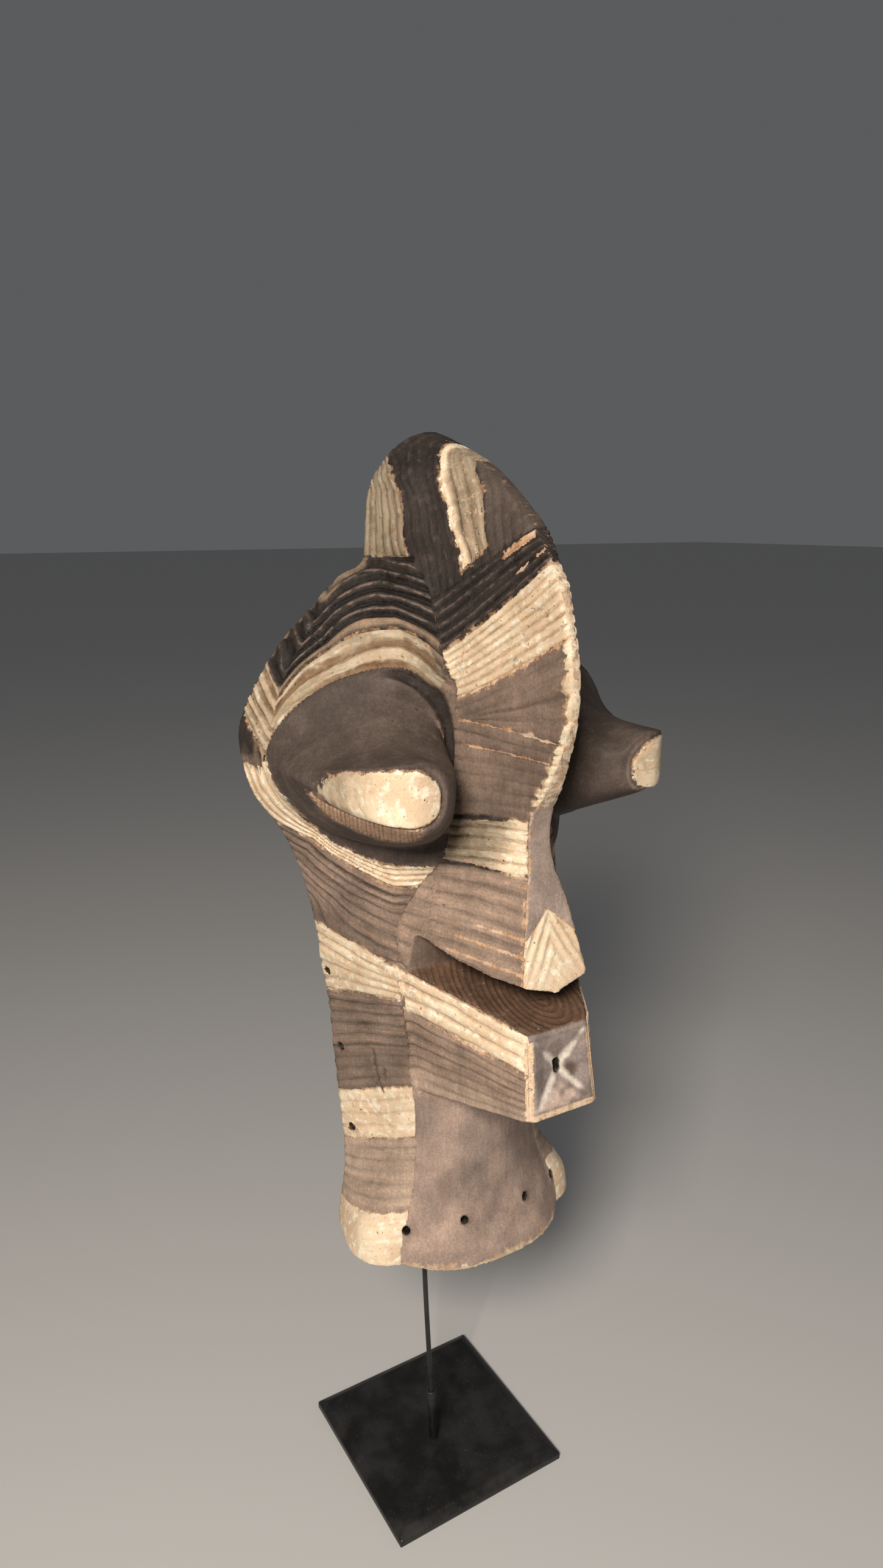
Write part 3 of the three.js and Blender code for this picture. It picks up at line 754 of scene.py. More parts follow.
def eye_arcs(unrolled, z):
    """Ridge count of the arcs above the eye, and of those below it, from the eye outwards."""
    dx, dz = unrolled - EYE_MIDDLE[0], z - EYE_MIDDLE[1]
    reach = np.hypot(dx, dz)
    angle = np.degrees(np.arctan2(dz, dx))
    outer = along_table(ARCS_OUTER, angle)
    above = ARCS_UPPER * reach / np.maximum(outline_reach(EYE_BASE, dx, dz), 1e-6)
    inner = np.where(dz > 0, above, along_table(ARCS_LOW, angle))
    outer = np.maximum(outer, inner + 3)
    share = (reach - inner) / (outer - inner)
    ridges = np.where(dz > 0, along_table(ARC_RIDGES, share), LOW_ARC_GROOVES * share)
    grooves = np.where(dz > 0, ARC_RIDGES[-1, 1], LOW_ARC_GROOVES)
    pitch = np.where(dz > 0, along_table(ARC_PITCHES, angle), LOW_ARC_PITCH)
    count = np.where(reach < outer, ridges, grooves + (reach - outer) / pitch)
    return count, reach, inner, outer, angle


def within(value, limits):
    return (value > limits[0]) & (value < limits[1])


class Carving:
    """Groove coordinate, groove depth, cream paint and ground colour of each point."""

    def __init__(self, places, normals):
        self.places = places
        self.normals = normals
        self.x = np.abs(places[:, 0])
        self.y = places[:, 1]
        self.w = -places[:, 1]
        self.z = places[:, 2]
        count = len(places)
        self.grooves = self.z / PLAIN_PITCH
        self.depth = np.zeros(count)
        self.share = np.full(count, PLAIN_SHARE)
        self.soil = np.full(count, PLAIN_SHARE)
        self.cream = np.full(count, NO_CREAM)
        self.ground = np.tile(GROUNDS["dark"], (count, 1))
        self.wear = np.zeros(count)
        self.sunk = np.zeros(count)
        self.fine = np.zeros(count, bool)
        columns = ((EDGE_X, EDGE_Y), (VALLEY_X, VALLEY_Y), (SIDE_X, SIDE_Y), (BACK_X, None))
        self.place, self.gap, self.unrolled = section_place(
            SECTIONS, columns, self.x, self.y, self.z)
        self.half = column_at(SECTIONS, EDGE_X, self.z)
        self.back = self.y - column_at(SECTIONS, EDGE_Y, self.z)
        for step in (self.crest, self.brow, self.cheek, self.collar, self.nose_front,
                     self.crest_edge, self.mouth, self.slot, self.eye, self.inside,
                     self.cracks, self.holes):
            step()

    def put(self, where, layer="own", **values):
        """Gives the points chosen the values of a layer, and others of their own."""
        for name, value in {**LAYERS[layer], **values}.items():
            if name == "ground":
                self.ground[where] = GROUNDS[value]
            else:
                kept = getattr(self, name)
                kept[where] = np.broadcast_to(value, kept.shape)[where]

    def crest(self):
        """Fan of bands on the crest's flanks, which runs down over the nose's flanks."""
        w, z = self.w, self.z
        at = [height + rise * (w - start) for start, height, rise, _ in CREST_FRONT_LINES]
        foot, cream_top, cream_low, _, _, _, nose_top, nose_low, _ = at
        front = between_lines(at, [line[3] for line in CREST_FRONT_LINES], z)
        across = [np.interp(z, CREST_REAR_HEIGHTS, row) for _, row in CREST_REAR_LINES]
        _, rear_cream, cream_back, cream_front, _ = across
        rear = between_lines(across, [line[0] for line in CREST_REAR_LINES], w)
        ragged = NOSE_BAND_RAG * smooth_step(*NOSE_BAND_RAG_W, w) * chance(np.floor(front))
        cream = np.maximum(
            np.minimum(cream_top - z, z - cream_low) * 0.8,
            np.minimum(nose_top - z, z - nose_low) - ragged,
        )
        flank = (self.place < VALLEY_PLACE) & (z > FLANK_FOOT_Z)
        self.put(flank, "flank", grooves=front, cream=cream)
        self.put(flank & (z < cream_low) & (z > nose_top), "fan")
        self.put(flank & (z < nose_low), "nose_flank")
        nose_band = flank & (z < nose_top) & (z > nose_low)
        # rear of the nose's cream band darker: dirt and the eye's painted cast shadow
        self.put(nose_band, soil=smooth_step(*NOSE_BAND_SOIL_AND_SHADE_W, w))
        upper = (z > foot) & ((self.place < VALLEY_PLACE) | (z > BROW_TOP_Z))
        end = foot + 1 + 8 * chance(np.floor(rear))
        cream = np.maximum(
            (rear_cream - w) * 0.85,
            np.minimum.reduce([w - cream_back, cream_front - w, (z - end) * 0.6]),
        )
        start, full = CREST_SOIL_IN
        dirty = CREST_SOIL * smooth_step(cream_back + start, cream_back + full, w)
        soil = np.where(w < rear_cream + 4, 1.0, dirty)
        self.put(upper, "crest", grooves=rear, cream=cream, soil=soil)
        self.put(upper & (w > cream_front + 1), ground="cone")
        self.put(upper & (cream < 0), depth=0.3)
        self.put(upper & (w > mixed(cream_back, cream_front, 0.3)) & (cream > 0.6), wear=0.46)
        for line, up, rise, half, limits, wear in CREST_MARKS:
            off = z - at[line] - up - rise * (w - MARKS_W)
            self.put(flank & (np.abs(off) < half) & within(w, limits), wear=wear)
        nearest = np.round(front)
        ridge = (np.abs(front - nearest) < RUBBED_HALF) & (chance(nearest + 31) > RUBBED_LEFT_OUT)
        start = mixed(*RUBBED_START_W, chance(nearest + 7))
        self.put(flank & (z < RUBBED_TOP_Z) & ridge & (w > start), wear=0.9)
        self.fine |= flank & (z < RUBBED_TOP_Z + 4) & (w > RUBBED_START_W[0] - 2)

    def brow(self):
        """Arcs round the eye, above and below it, and the chevrons at the temple."""
        count, reach, inner, outer, angle = eye_arcs(self.unrolled, self.z)
        around = (self.place >= VALLEY_PLACE) & (self.z < BROW_TOP_Z) & (self.z > CHEEK_TOP[0])
        above = self.z > EYE_MIDDLE[1]
        cream = np.minimum(outer - reach, np.where(above, 9, reach - inner + 0.8))
        cream -= 12 * smooth_step(98, 126, np.abs(angle))
        half_worn = above & (np.abs(count - 3) < 0.3)
        half_worn |= above & (self.z > SHOULDER_Z) & (self.place > 2.8)
        soil = mixed(0.62, 1.0, smooth_step(96, 116, angle))
        deep = 2.2 * smooth_step(132, 112, angle)
        self.put(around & above, "arcs", grooves=count, depth=deep, cream=cream, soil=soil)
        self.put(around & above & (angle > 106) & (count < 3), ground="fan")
        self.put(around & half_worn, "half_worn")
        self.put(around & ~above, "low_arcs", grooves=LOW_ARC_START - count, cream=cream)
        self.put(around & ~above & (reach < inner - 0.8), depth=0, ground="cone")
        turn = along_table(TEMPLE_TURN, self.z)
        level = self.z - (self.unrolled - turn)
        heights = TEMPLE_TURN[:, 0]
        at_turn = eye_arcs(TEMPLE_TURN[:, 1], heights)[0]
        at_turn[:2] = at_turn[2] + (heights[:2] - heights[2]) / TEMPLE_PITCH
        low, high = TEMPLE_CREAM
        left = around & (self.unrolled > turn) & (self.z > TEMPLE_DARK_Z)
        cream = np.minimum(high - level, level - low)
        self.put(left, "temple", grooves=np.interp(level, heights, at_turn), cream=cream)
        self.put(left & (level < low), depth=0)

    def cheek(self):
        """Level stripes between the eye and the chin, in cream and dark bands."""
        level = self.z + along_table(CHEEK_SLOPES, self.z) * (self.y - CHEEK_BACK_Y)
        cream = np.maximum.reduce(
            [np.minimum(level - low, high - level) for low, high in CHEEK_CREAM])
        stripes = along_table(CHEEK_LEVELS, level)
        panel = (self.place >= 1.0) & (self.z <= CHEEK_TOP[1])
        panel |= (self.place > 0.8) & (self.z < FLANK_FOOT_Z) & (self.z > COLLAR_TOP_Z)
        high = smooth_step(*CHEEK_TOP, self.z)
        self.put(panel, "cheek", depth=mixed(0.45, 0.85, smooth_step(336, 350, level)))
        self.put(panel & (level < CHEEK_CREAM[1][0]), ground="pale")
        self.put(panel & (level < CHEEK_CREAM[0][0]), soil=0.2)
        meeting = panel & (self.z > CHEEK_TOP[0])
        self.put(meeting, grooves=mixed(stripes, self.grooves, high))
        self.put(panel & ~meeting, grooves=stripes)
        self.put(panel & (level < CHEEK_TOP[0] + 6), cream=cream)
        self.put(panel & (level < CHEEK_LEVELS[1, 0]), "chin")

    def collar(self):
        """Smooth front of jaw and chin, a little lower than the striped sides."""
        front = (self.place < 1.0) & (self.z < COLLAR_TOP_Z)
        self.put(front, "bare", ground="collar")
        mottle = layered_noise(self.places, *COLLAR_NOISE)[front, None]
        self.ground[front] *= mixed(COLLAR_SHADE, COLLAR_LIGHT, mottle)
        self.sunk[front] += 0.7
        self.put(front & (self.z < 215), "chin_rim", cream=0.2 + 0.6 * (213 - self.z))

    def nose_front(self):
        """Narrow front of the nose, with chevrons in the cream of its tip."""
        along = within(self.z, NOSE_FRONT_Z)
        front = along & (self.x < self.half + 0.4) & (self.back < 1.5)
        chevrons = (self.z + NOSE_CHEVRON_RISE * self.x) / NOSE_CHEVRON_PITCH
        cream = NOSE_CREAM_Z - self.z - 0.9 * self.x
        depth = np.where(cream > 0, 0.2 + 0.6 * smooth_step(417, 436, self.z), 0)
        self.put(front, "nose_front", grooves=chevrons, depth=depth, cream=cream)
        self.fine |= front & (cream > -CREAM_REACH)
        arris = along & (np.abs(self.x - self.half) < 1.3) & (self.back < 3)
        self.put(arris, wear=np.maximum(self.wear, 0.55))

    def crest_edge(self):
        """Narrow front of the crest, with cream that runs over its edge in teeth."""
        low, high = EDGE_CREAM
        tooth = 1 - 2 * np.abs(self.grooves - np.round(self.grooves))
        teeth = within(self.z, EDGE_CREAM) & (self.place < 0.4) & (self.back < 8)
        reach = 1.2 + 4.5 * tooth * (0.4 + chance(np.round(self.grooves)))
        self.put(teeth, cream=np.maximum(self.cream, (reach - self.back) * 0.7))
        near = (self.x < self.half - FACE_INSET) & (self.back < 1.8) & (self.z >= NOSE_FRONT_Z[1])
        self.put(near, depth=0, wear=0.42)
        cream = np.minimum(self.z - low, high - self.z) * 0.3
        # above high the strip stays dark: painted shade where it faces away from the light
        self.put(near & (self.z < high), cream=np.minimum(cream, 0.1), ground="edge")

    def mouth(self):
        """Box of the mouth: striped sides, plain top and underside, and the cross."""
        top_share = (self.y - MOUTH_END_TOP[1]) / (MOUTH_ROOT_TOP[1] - MOUTH_END_TOP[1])
        low_share = (self.y - MOUTH_END_BOTTOM[1]) / (MOUTH_ROOT_BOTTOM[1] - MOUTH_END_BOTTOM[1])
        top_half, top = [mixed(MOUTH_END_TOP[k], MOUTH_ROOT_TOP[k], top_share) for k in (0, 2)]
        low_half, low = [
            mixed(MOUTH_END_BOTTOM[k], MOUTH_ROOT_BOTTOM[k], low_share) for k in (0, 2)]
        down = (top - self.z) / (top - low)
        half = mixed(top_half, low_half, down)
        box = within(down, (-0.03, 1.03)) & (self.x < half + 2) & (self.y < -50)
        side = box & (np.abs(self.x - half) < FACE_HALF)
        limit = mixed(*MOUTH_CREAM, np.clip(top_share, 0, 1))
        first, middle, last = MOUTH_GROOVES
        grooves = np.where(
            down < limit,
            first + (middle - first) * down / limit,
            middle + (last - middle) * (down - limit) / (1 - limit),
        )
        cream = np.minimum(limit - down, down - 0.02) * (top - low)
        self.put(side, "mouth_side", grooves=grooves, cream=cream)
        self.put(side & (np.abs(cream + 0.8) < 1.1) & (self.y < -80), wear=0.6)
        lower = side & (down > limit)
        blend = smooth_step(0.7, 1.0, down)[lower, None]
        self.ground[lower] = mixed(GROUNDS["dusty"], GROUNDS["pale"], blend)
        self.depth[lower] *= 0.7 - 0.4 * blend[:, 0]
        across = box & (self.x < half - FACE_INSET)
        ring_x, ring_y, ring_length, ring_pitch = LID_RINGS
        away = np.hypot(self.places[:, 0] - ring_x, (self.y - ring_y) / ring_length)
        lid = across & (self.y < -62) & (np.abs(self.z - top) < FACE_HALF)
        self.put(lid, "lid", grooves=away / ring_pitch)
        under = across & (self.y < -70) & (np.abs(self.z - low) < FACE_HALF)
        self.put(under, "underside", grooves=self.x / PLAIN_PITCH)
        plane = mixed(MOUTH_END_TOP[1], MOUTH_END_BOTTOM[1], np.clip(down, 0, 1))
        end = box & (self.y < plane + 7.5) & (self.x < half - 1.0) & (np.abs(down - 0.5) < 0.49)
        self.put(end, "bare", ground="mouth")
        inner = end & (self.x < half - MOUTH_FRAME) & within(down, (0.08, 0.91))
        self.cross(inner, down, half, top - low)
        rim = box & (self.y < plane + 3) & ~inner
        self.put(rim, wear=np.where(down < 0.1, 0.3, 0.6))
        self.put(rim & (down > 0.1), "mouth_rim")
        self.fine |= end | rim
        corner = np.hypot(half - self.x, self.y - plane) / MOUTH_ROUND
        self.sunk += 2.2 * box * np.clip(1 - corner, 0, 1)
        # painted shade: the walls of the hole in the mouth's end are near black
        hole = end & (self.y > plane + 5.5) & (self.x < 3.2)
        self.put(hole, cream=NO_CREAM, ground="hole")

    def cross(self, inner, down, half, height):
        """Pale cross in the mouth's end, with pink and brown stains."""
        patch = layered_noise(self.places, *CROSS_NOISE)
        diagonal = np.abs(self.x / half - np.abs(2 * down - 1)) * half
        width = 3.2 * smooth_step(0.95, 0.1, self.x / half) + 7 * (patch - 0.5)
        below = smooth_step(0.55, 0.75, down - 0.3 * self.x / half)
        mottle = smooth_step(0.5, 0.6, layered_noise(self.places, *CROSS_MOTTLE))
        stain_x, stain_down, stain_radius = CROSS_STAIN
        away = np.hypot(self.places[:, 0] - stain_x, (down - stain_down) * height)
        stain = smooth_step(stain_radius + 2, stain_radius - 2, away + 6 * (patch - 0.5))
        for colour, share in (
            (CROSS_PINK, below * smooth_step(0.40, 0.52, patch)),
            (CROSS_BROWN, mottle * (0.35 + 0.3 * below)),
            (CROSS_BROWN, stain),
            (CROSS_PALE, smooth_step(-0.8, 0.8, width - diagonal)),
        ):
            self.ground[inner] = mixed(self.ground[inner], colour, share[inner, None])

    def slot(self):
        """Faces of the gap between nose and mouth, painted dark as shade and lighter towards their
        outer ends.
        """
        gap = within(self.z, (386, 432)) & within(self.y, (-131, -50))
        ceiling = gap & (self.normals[:, 2] < -0.6) & (self.x < 64)
        faces = ceiling | (gap & (self.normals[:, 1] < -0.75) & (self.y > -67) & (self.x < 56))
        self.put(faces, "clean", ground="slot")
        outer = smooth_step(34, 58, self.x)[faces, None]
        self.ground[faces] = mixed(self.ground[faces], GROUNDS["cheek"], outer)

    def eye(self):
        """Cone of the eye, its white and the band of lashes below it."""
        dx, dz = self.x - EYE_MIDDLE[0], self.z - EYE_MIDDLE[1]
        base = eye_base_y(-self.x)
        cone = (outline_reach(EYE_BASE, dx, dz) < 0.985) & (self.y < base + 6) & (self.gap > 1.0)
        self.put(cone, "clean", ground="cone")
        self.eye_crease(dx, dz)
        facet = outline_reach(WHITE, self.x - WHITE_CENTRE[0], self.z - WHITE_CENTRE[1])
        inside = (1 - facet) * 16
        forward = cone & (self.y < base - 20)
        # painted highlight: a lighter band round the inner side of the white, where the cone's tip
        # turns
        self.ground[forward & (np.abs(inside + 2.8) < 0.8) & (self.x < 72)] *= 2.2
        soil = smooth_step(WHITE_CENTRE[0], WHITE_CENTRE[0] + WHITE["outer"], self.x)
        # soil on the white grows outwards; on the far eye (+x) it is raised further, as dirt and
        # painted shade of the side away from the light
        self.put(forward, cream=inside, soil=0.7 * soil + 0.4 * (self.places[:, 0] > 0))
        self.sunk[forward] += (0.9 * np.exp(-((inside + 0.9) / 0.9) ** 2))[forward]
        self.sunk[forward] += (0.5 * smooth_step(0.3, -1.5, inside))[forward]
        lower_edge = along_table(LASHES, self.x)
        lashes = forward & within(self.x, LASHES[[0, -1], 0]) & (inside < -1.2)
        lashes &= (self.z > lower_edge) & (self.z < WHITE_CENTRE[1])
        self.put(lashes, "lashes", grooves=(self.x + LASH_LEAN * self.y) / LASH_PITCH)
        self.put(lashes & (self.z < lower_edge + 1.6), wear=0.6)
        self.sunk[lashes] += 0.5
        self.fine |= forward & (inside > -4)

    def eye_crease(self, dx, dz):
        """Sunk crease between the cone and the nose, painted dark as shade, with a lighter edge
        along it, partly rubbed and partly a painted highlight.
        """
        angle = np.degrees(np.arctan2(dz, dx)) % 360
        reach = outline_reach(EYE_BASE, dx, dz)
        start, end = [np.interp(angle, EYE_CREASE[:, 0], EYE_CREASE[:, k]) for k in (1, 2)]
        share = (reach - start) / (end - start)
        first, last = EYE_CREASE[[0, -1], 0]
        near = within(angle, (first, last)) & within(self.y, (-80, -45)) & (self.place < 2)
        near &= within(share, (-0.4, 1.1))
        # lighter line on the cone along the crease's edge: partly rubbed wear, partly painted
        # highlight
        self.ground[near & (np.abs(share + 0.12) < 0.12)] *= 1.6
        # painted shade: the crease itself in the dark ground
        self.put(near & within(share, (0, 1)), "painted_shade_crease")
        fade = smooth_step(first, first + 20, angle) * smooth_step(last, last - 25, angle)
        self.sunk += (CREASE_SINK * near * fade
                      * smooth_step(0, 0.3, share) * smooth_step(1.1, 0.8, share))

    def inside(self):
        """Hollow and open back: plain dark wood with the marks of the adze."""
        table = np.insert(HOLLOW, 3, HOLLOW_FRONT_X, axis=1)
        columns = ((3, 1), (2, 4), (5, 6), (7, None))
        _, gap, _ = section_place(table, columns, self.x, self.y, self.z)
        hollow = (gap < 4.6) & (self.gap > 3.5) & (self.z < 613)
        hollow |= (self.normals[:, 2] < -0.5) & within(self.z, (596, 616))
        hollow |= self.y > BACK_Y - 0.6
        marks = layered_noise(self.places * (1, 1, 0.45), *ADZE_NOISE)
        self.sunk[hollow] += 1.1 * marks[hollow]
        self.put(hollow, "clean", ground="inside")

    def cracks(self):
        """Drying crack that runs up and down on one side, with its forks."""
        outside = (self.places[:, 0] < 0) & (self.place > 1) & (self.gap < 2)
        for y, low, high, lean in CRACKS:
            off = self.y - y - lean * (self.z - low) - 0.5 * np.sin(self.z / 4)
            near = within(self.z, (low, high)) & outside
            self.sunk += CRACK_SINK * np.exp(-(off / 0.8) ** 2) * near
            self.put(near & (np.abs(off) < 0.65), cream=NO_CREAM, ground="slot")

    def holes(self):
        """Walls of the tie holes, painted near black as shade."""
        self.put(hole_gaps(self.places) < 0.35, "bare", ground="hole")


def hole_gaps(places):
    """Distance from the wall of the nearest tie hole."""
    x, y, z = places.T
    gaps = [np.hypot(y - hole_y, z - hole_z) for hole_y, hole_z in SIDE_HOLES]
    for hole_x, hole_y, hole_z, turn in CHIN_HOLES:
        turned = math.radians(turn)
        off = (np.abs(x) - hole_x) * math.cos(turned) + (y - hole_y) * math.sin(turned)
        gaps.append(np.hypot(off, z - hole_z) + 50 * (y > BACK_Y))
    return np.min(gaps, axis=0) - TIE_HOLE_RADIUS


def mesh_arrays(mesh):
    """Places in millimetres, normals and edges of a mesh."""
    return (field_of(mesh.vertices, "co", 3) / MM, field_of(mesh.vertex_normals, "vector", 3),
            field_of(mesh.edges, "vertices", 2, int))


def relax(values, edges, rounds):
    """Values averaged over neighbouring points, a number of times."""
    count = len(values)
    a, b = edges.T
    shares = np.bincount(a, minlength=count) + np.bincount(b, minlength=count)
    for _ in range(rounds):
        total = np.empty_like(values)
        for k in range(values.shape[1]):
            total[:, k] = np.bincount(a, values[b, k], count) + np.bincount(b, values[a, k], count)
        values = 0.5 * values + 0.5 * total / shares[:, None]
    return values


def add_attribute(mesh, name, values, kind="FLOAT", field="value"):
    made = mesh.attributes.new(name, kind, "POINT")
    made.data.foreach_set(field, values.astype(np.float32).ravel())


def carve(mask):
    """Cuts grooves, worn edges and tool marks, and stores what the wood's finish reads."""
    mesh = mask.data
    places, normals, edges = mesh_arrays(mesh)
    kept = smooth_step(HOLE_REACH, HOLE_REACH / 3, hole_gaps(places))[:, None]
    free = 1 - kept[:, 0]
    even = mixed(relax(places, edges, PLACE_ROUNDS), places, kept)
    normals = relax(normals, edges, NORMAL_ROUNDS)
    normals /= np.maximum(np.linalg.norm(normals, axis=1, keepdims=True), 1e-9)
    carving = Carving(places, normals)
    bulge = ((even - relax(even, edges, BULGE_ROUNDS)) * normals).sum(1)
    fine, broad, chipped, tooled = [
        layered_noise(places, *noise) for noise in (FINE_NOISE, BROAD_NOISE, CHIP_NOISE, TOOL_NOISE)]
    count = carving.grooves + (broad - 0.5) * 0.4 + (fine - 0.5) * 0.16
    across = np.abs(count - np.floor(count) - 0.5) * 2
    cut = 1 - smooth_step(0, 2 * carving.share, across)
    depth = carving.depth * (0.8 + 0.6 * fine) * free
    worn = smooth_step(0.35, 1.4, bulge + (fine - 0.5) * 0.9)
    chips = smooth_step(0.58, 0.75, chipped) * smooth_step(0.5, 1.3, bulge)
    tooled = 0.25 * (tooled - 0.3)
    lowered = cut * depth + (carving.sunk + 0.35 * worn + 1.1 * chips + tooled) * free
    moved = even - normals * np.maximum(lowered, LEAST_LOWERED)[:, None]
    mesh.vertices.foreach_set("co", (moved * MM).astype(np.float32).ravel())
    mesh.update()
    for name, values in {
        "cream": np.clip(carving.cream, -CREAM_REACH, CREAM_REACH),
        "count": count,
        "share": 2 * carving.share,
        "cut": cut,
        "depth": carving.depth,
        "rub": np.clip(worn + chips, 0, 1),
        "wear": np.clip(carving.wear, -1, 1),
        "soil": carving.soil,
    }.items():
        add_attribute(mesh, name, values)
    colours = np.column_stack([relax(carving.ground, edges, GROUND_ROUNDS), np.ones(len(places))])
    add_attribute(mesh, "ground", colours, "FLOAT_COLOR", "color")
    group = mask.vertex_groups.new(name="fine")
    group.add(np.flatnonzero(carving.fine).tolist(), 1.0, "REPLACE")
    step = mask.modifiers.new("fewer", "DECIMATE")
    step.vertex_group = group.name
    step.invert_vertex_group = True
    mesh.calc_loop_triangles()
    step.ratio = min(1, MASK_TRIANGLES / len(mesh.loop_triangles))
    apply_modifiers(mask)
    mask.data.shade_smooth()


class Nodes:
    """Small helper that builds a material's node tree."""

    def __init__(self, name):
        self.material = bpy.data.materials.new(name)
        self.material.use_nodes = True
        self.tree = self.material.node_tree
        self.shader = self.tree.nodes["Principled BSDF"]

    def link(self, value, socket):
        if isinstance(value, bpy.types.NodeSocket):
            self.tree.links.new(value, socket)
        elif isinstance(value, tuple) and len(value) == 3 and socket.type == "RGBA":
            socket.default_value = (*value, 1)
        else:
            socket.default_value = value

    def add(self, kind, output, inputs, **settings):
        """New node with its settings and inputs; gives back one of its outputs."""
        node = self.tree.nodes.new("ShaderNode" + kind)
        for name, value in settings.items():
            setattr(node, name, value)
        for name, value in inputs.items():
            self.link(value, node.inputs[name])
        return node.outputs[output]

    def attribute(self, name, output="Fac"):
        return self.add("Attribute", output, {}, attribute_name=name)

    def stretched(self, scale):
        place = self.add("TexCoord", "Object", {})
        return self.add("Mapping", "Vector", {"Vector": place, "Scale": scale})

    def noise(self, size, detail=4, rough=0.55, stretch=(1, 1, 1)):
        """Noise from about 0.25 to 0.75 with bumps of a size in millimetres."""
        return self.bumps(self.stretched(stretch), 1 / (size * MM), detail, rough)

    def bumps(self, place, scale, detail, rough):
        return self.add("TexNoise", "Fac", {
            "Vector": place, "Scale": scale, "Detail": detail, "Roughness": rough})

    def along_grooves(self, count, quickness, length):
        """Noise that changes quickly with a groove count and slowly over a length in mm."""
        lift = self.add("CombineXYZ", 0, {"Z": self.product(count, quickness)})
        place = self.stretched((1 / (length * MM),) * 3)
        moved = self.add("VectorMath", 0, {0: place, 1: lift}, operation="ADD")
        return self.bumps(moved, 1, 4, 0.6)

    def math(self, operation, *values):
        return self.add("Math", 0, dict(enumerate(values)), operation=operation)

    def product(self, first, *others):
        for other in others:
            first = self.math("MULTIPLY", first, other)
        return first

    def total(self, first, *others):
        for other in others:
            first = self.math("ADD", first, other)
        return first

    def centred(self, noise, height):
        """Noise moved down to lie about 0, times a height."""
        return self.product(self.math("SUBTRACT", noise, 0.5), height)

    def scaled(self, colour, factor):
        """Colour times a number or times another colour."""
        if isinstance(factor, tuple):
            return self.add("VectorMath", 0, {0: colour, 1: factor}, operation="MULTIPLY")
        return self.add("VectorMath", 0, {0: colour, "Scale": factor}, operation="SCALE")

    def range(self, value, low, high, out_low=0.0, out_high=1.0):
        """Soft step of a value between two limits, from one result to another."""
        return self.add("MapRange", "Result", {
            "Value": value, "From Min": low, "From Max": high,
            "To Min": out_low, "To Max": out_high,
        }, interpolation_type="SMOOTHSTEP")

    def mix(self, share, a, b, blend="MIX"):
        return self.add("Mix", 2, {0: share, 6: a, 7: b}, data_type="RGBA", blend_type=blend)

    def finish(self, colour, roughness, bumps, distance, strength, specular, metallic=0.0):
        """Sets the shader, with bumps of a height in millimetres."""
        normal = self.add("Bump", "Normal", {
            "Distance": distance * MM, "Strength": strength, "Height": bumps})
        for name, value in (("Base Color", colour), ("Roughness", roughness), ("Normal", normal)):
            self.link(value, self.shader.inputs[name])
        self.shader.inputs["Specular IOR Level"].default_value = specular
        self.shader.inputs["Metallic"].default_value = metallic
        return self.material


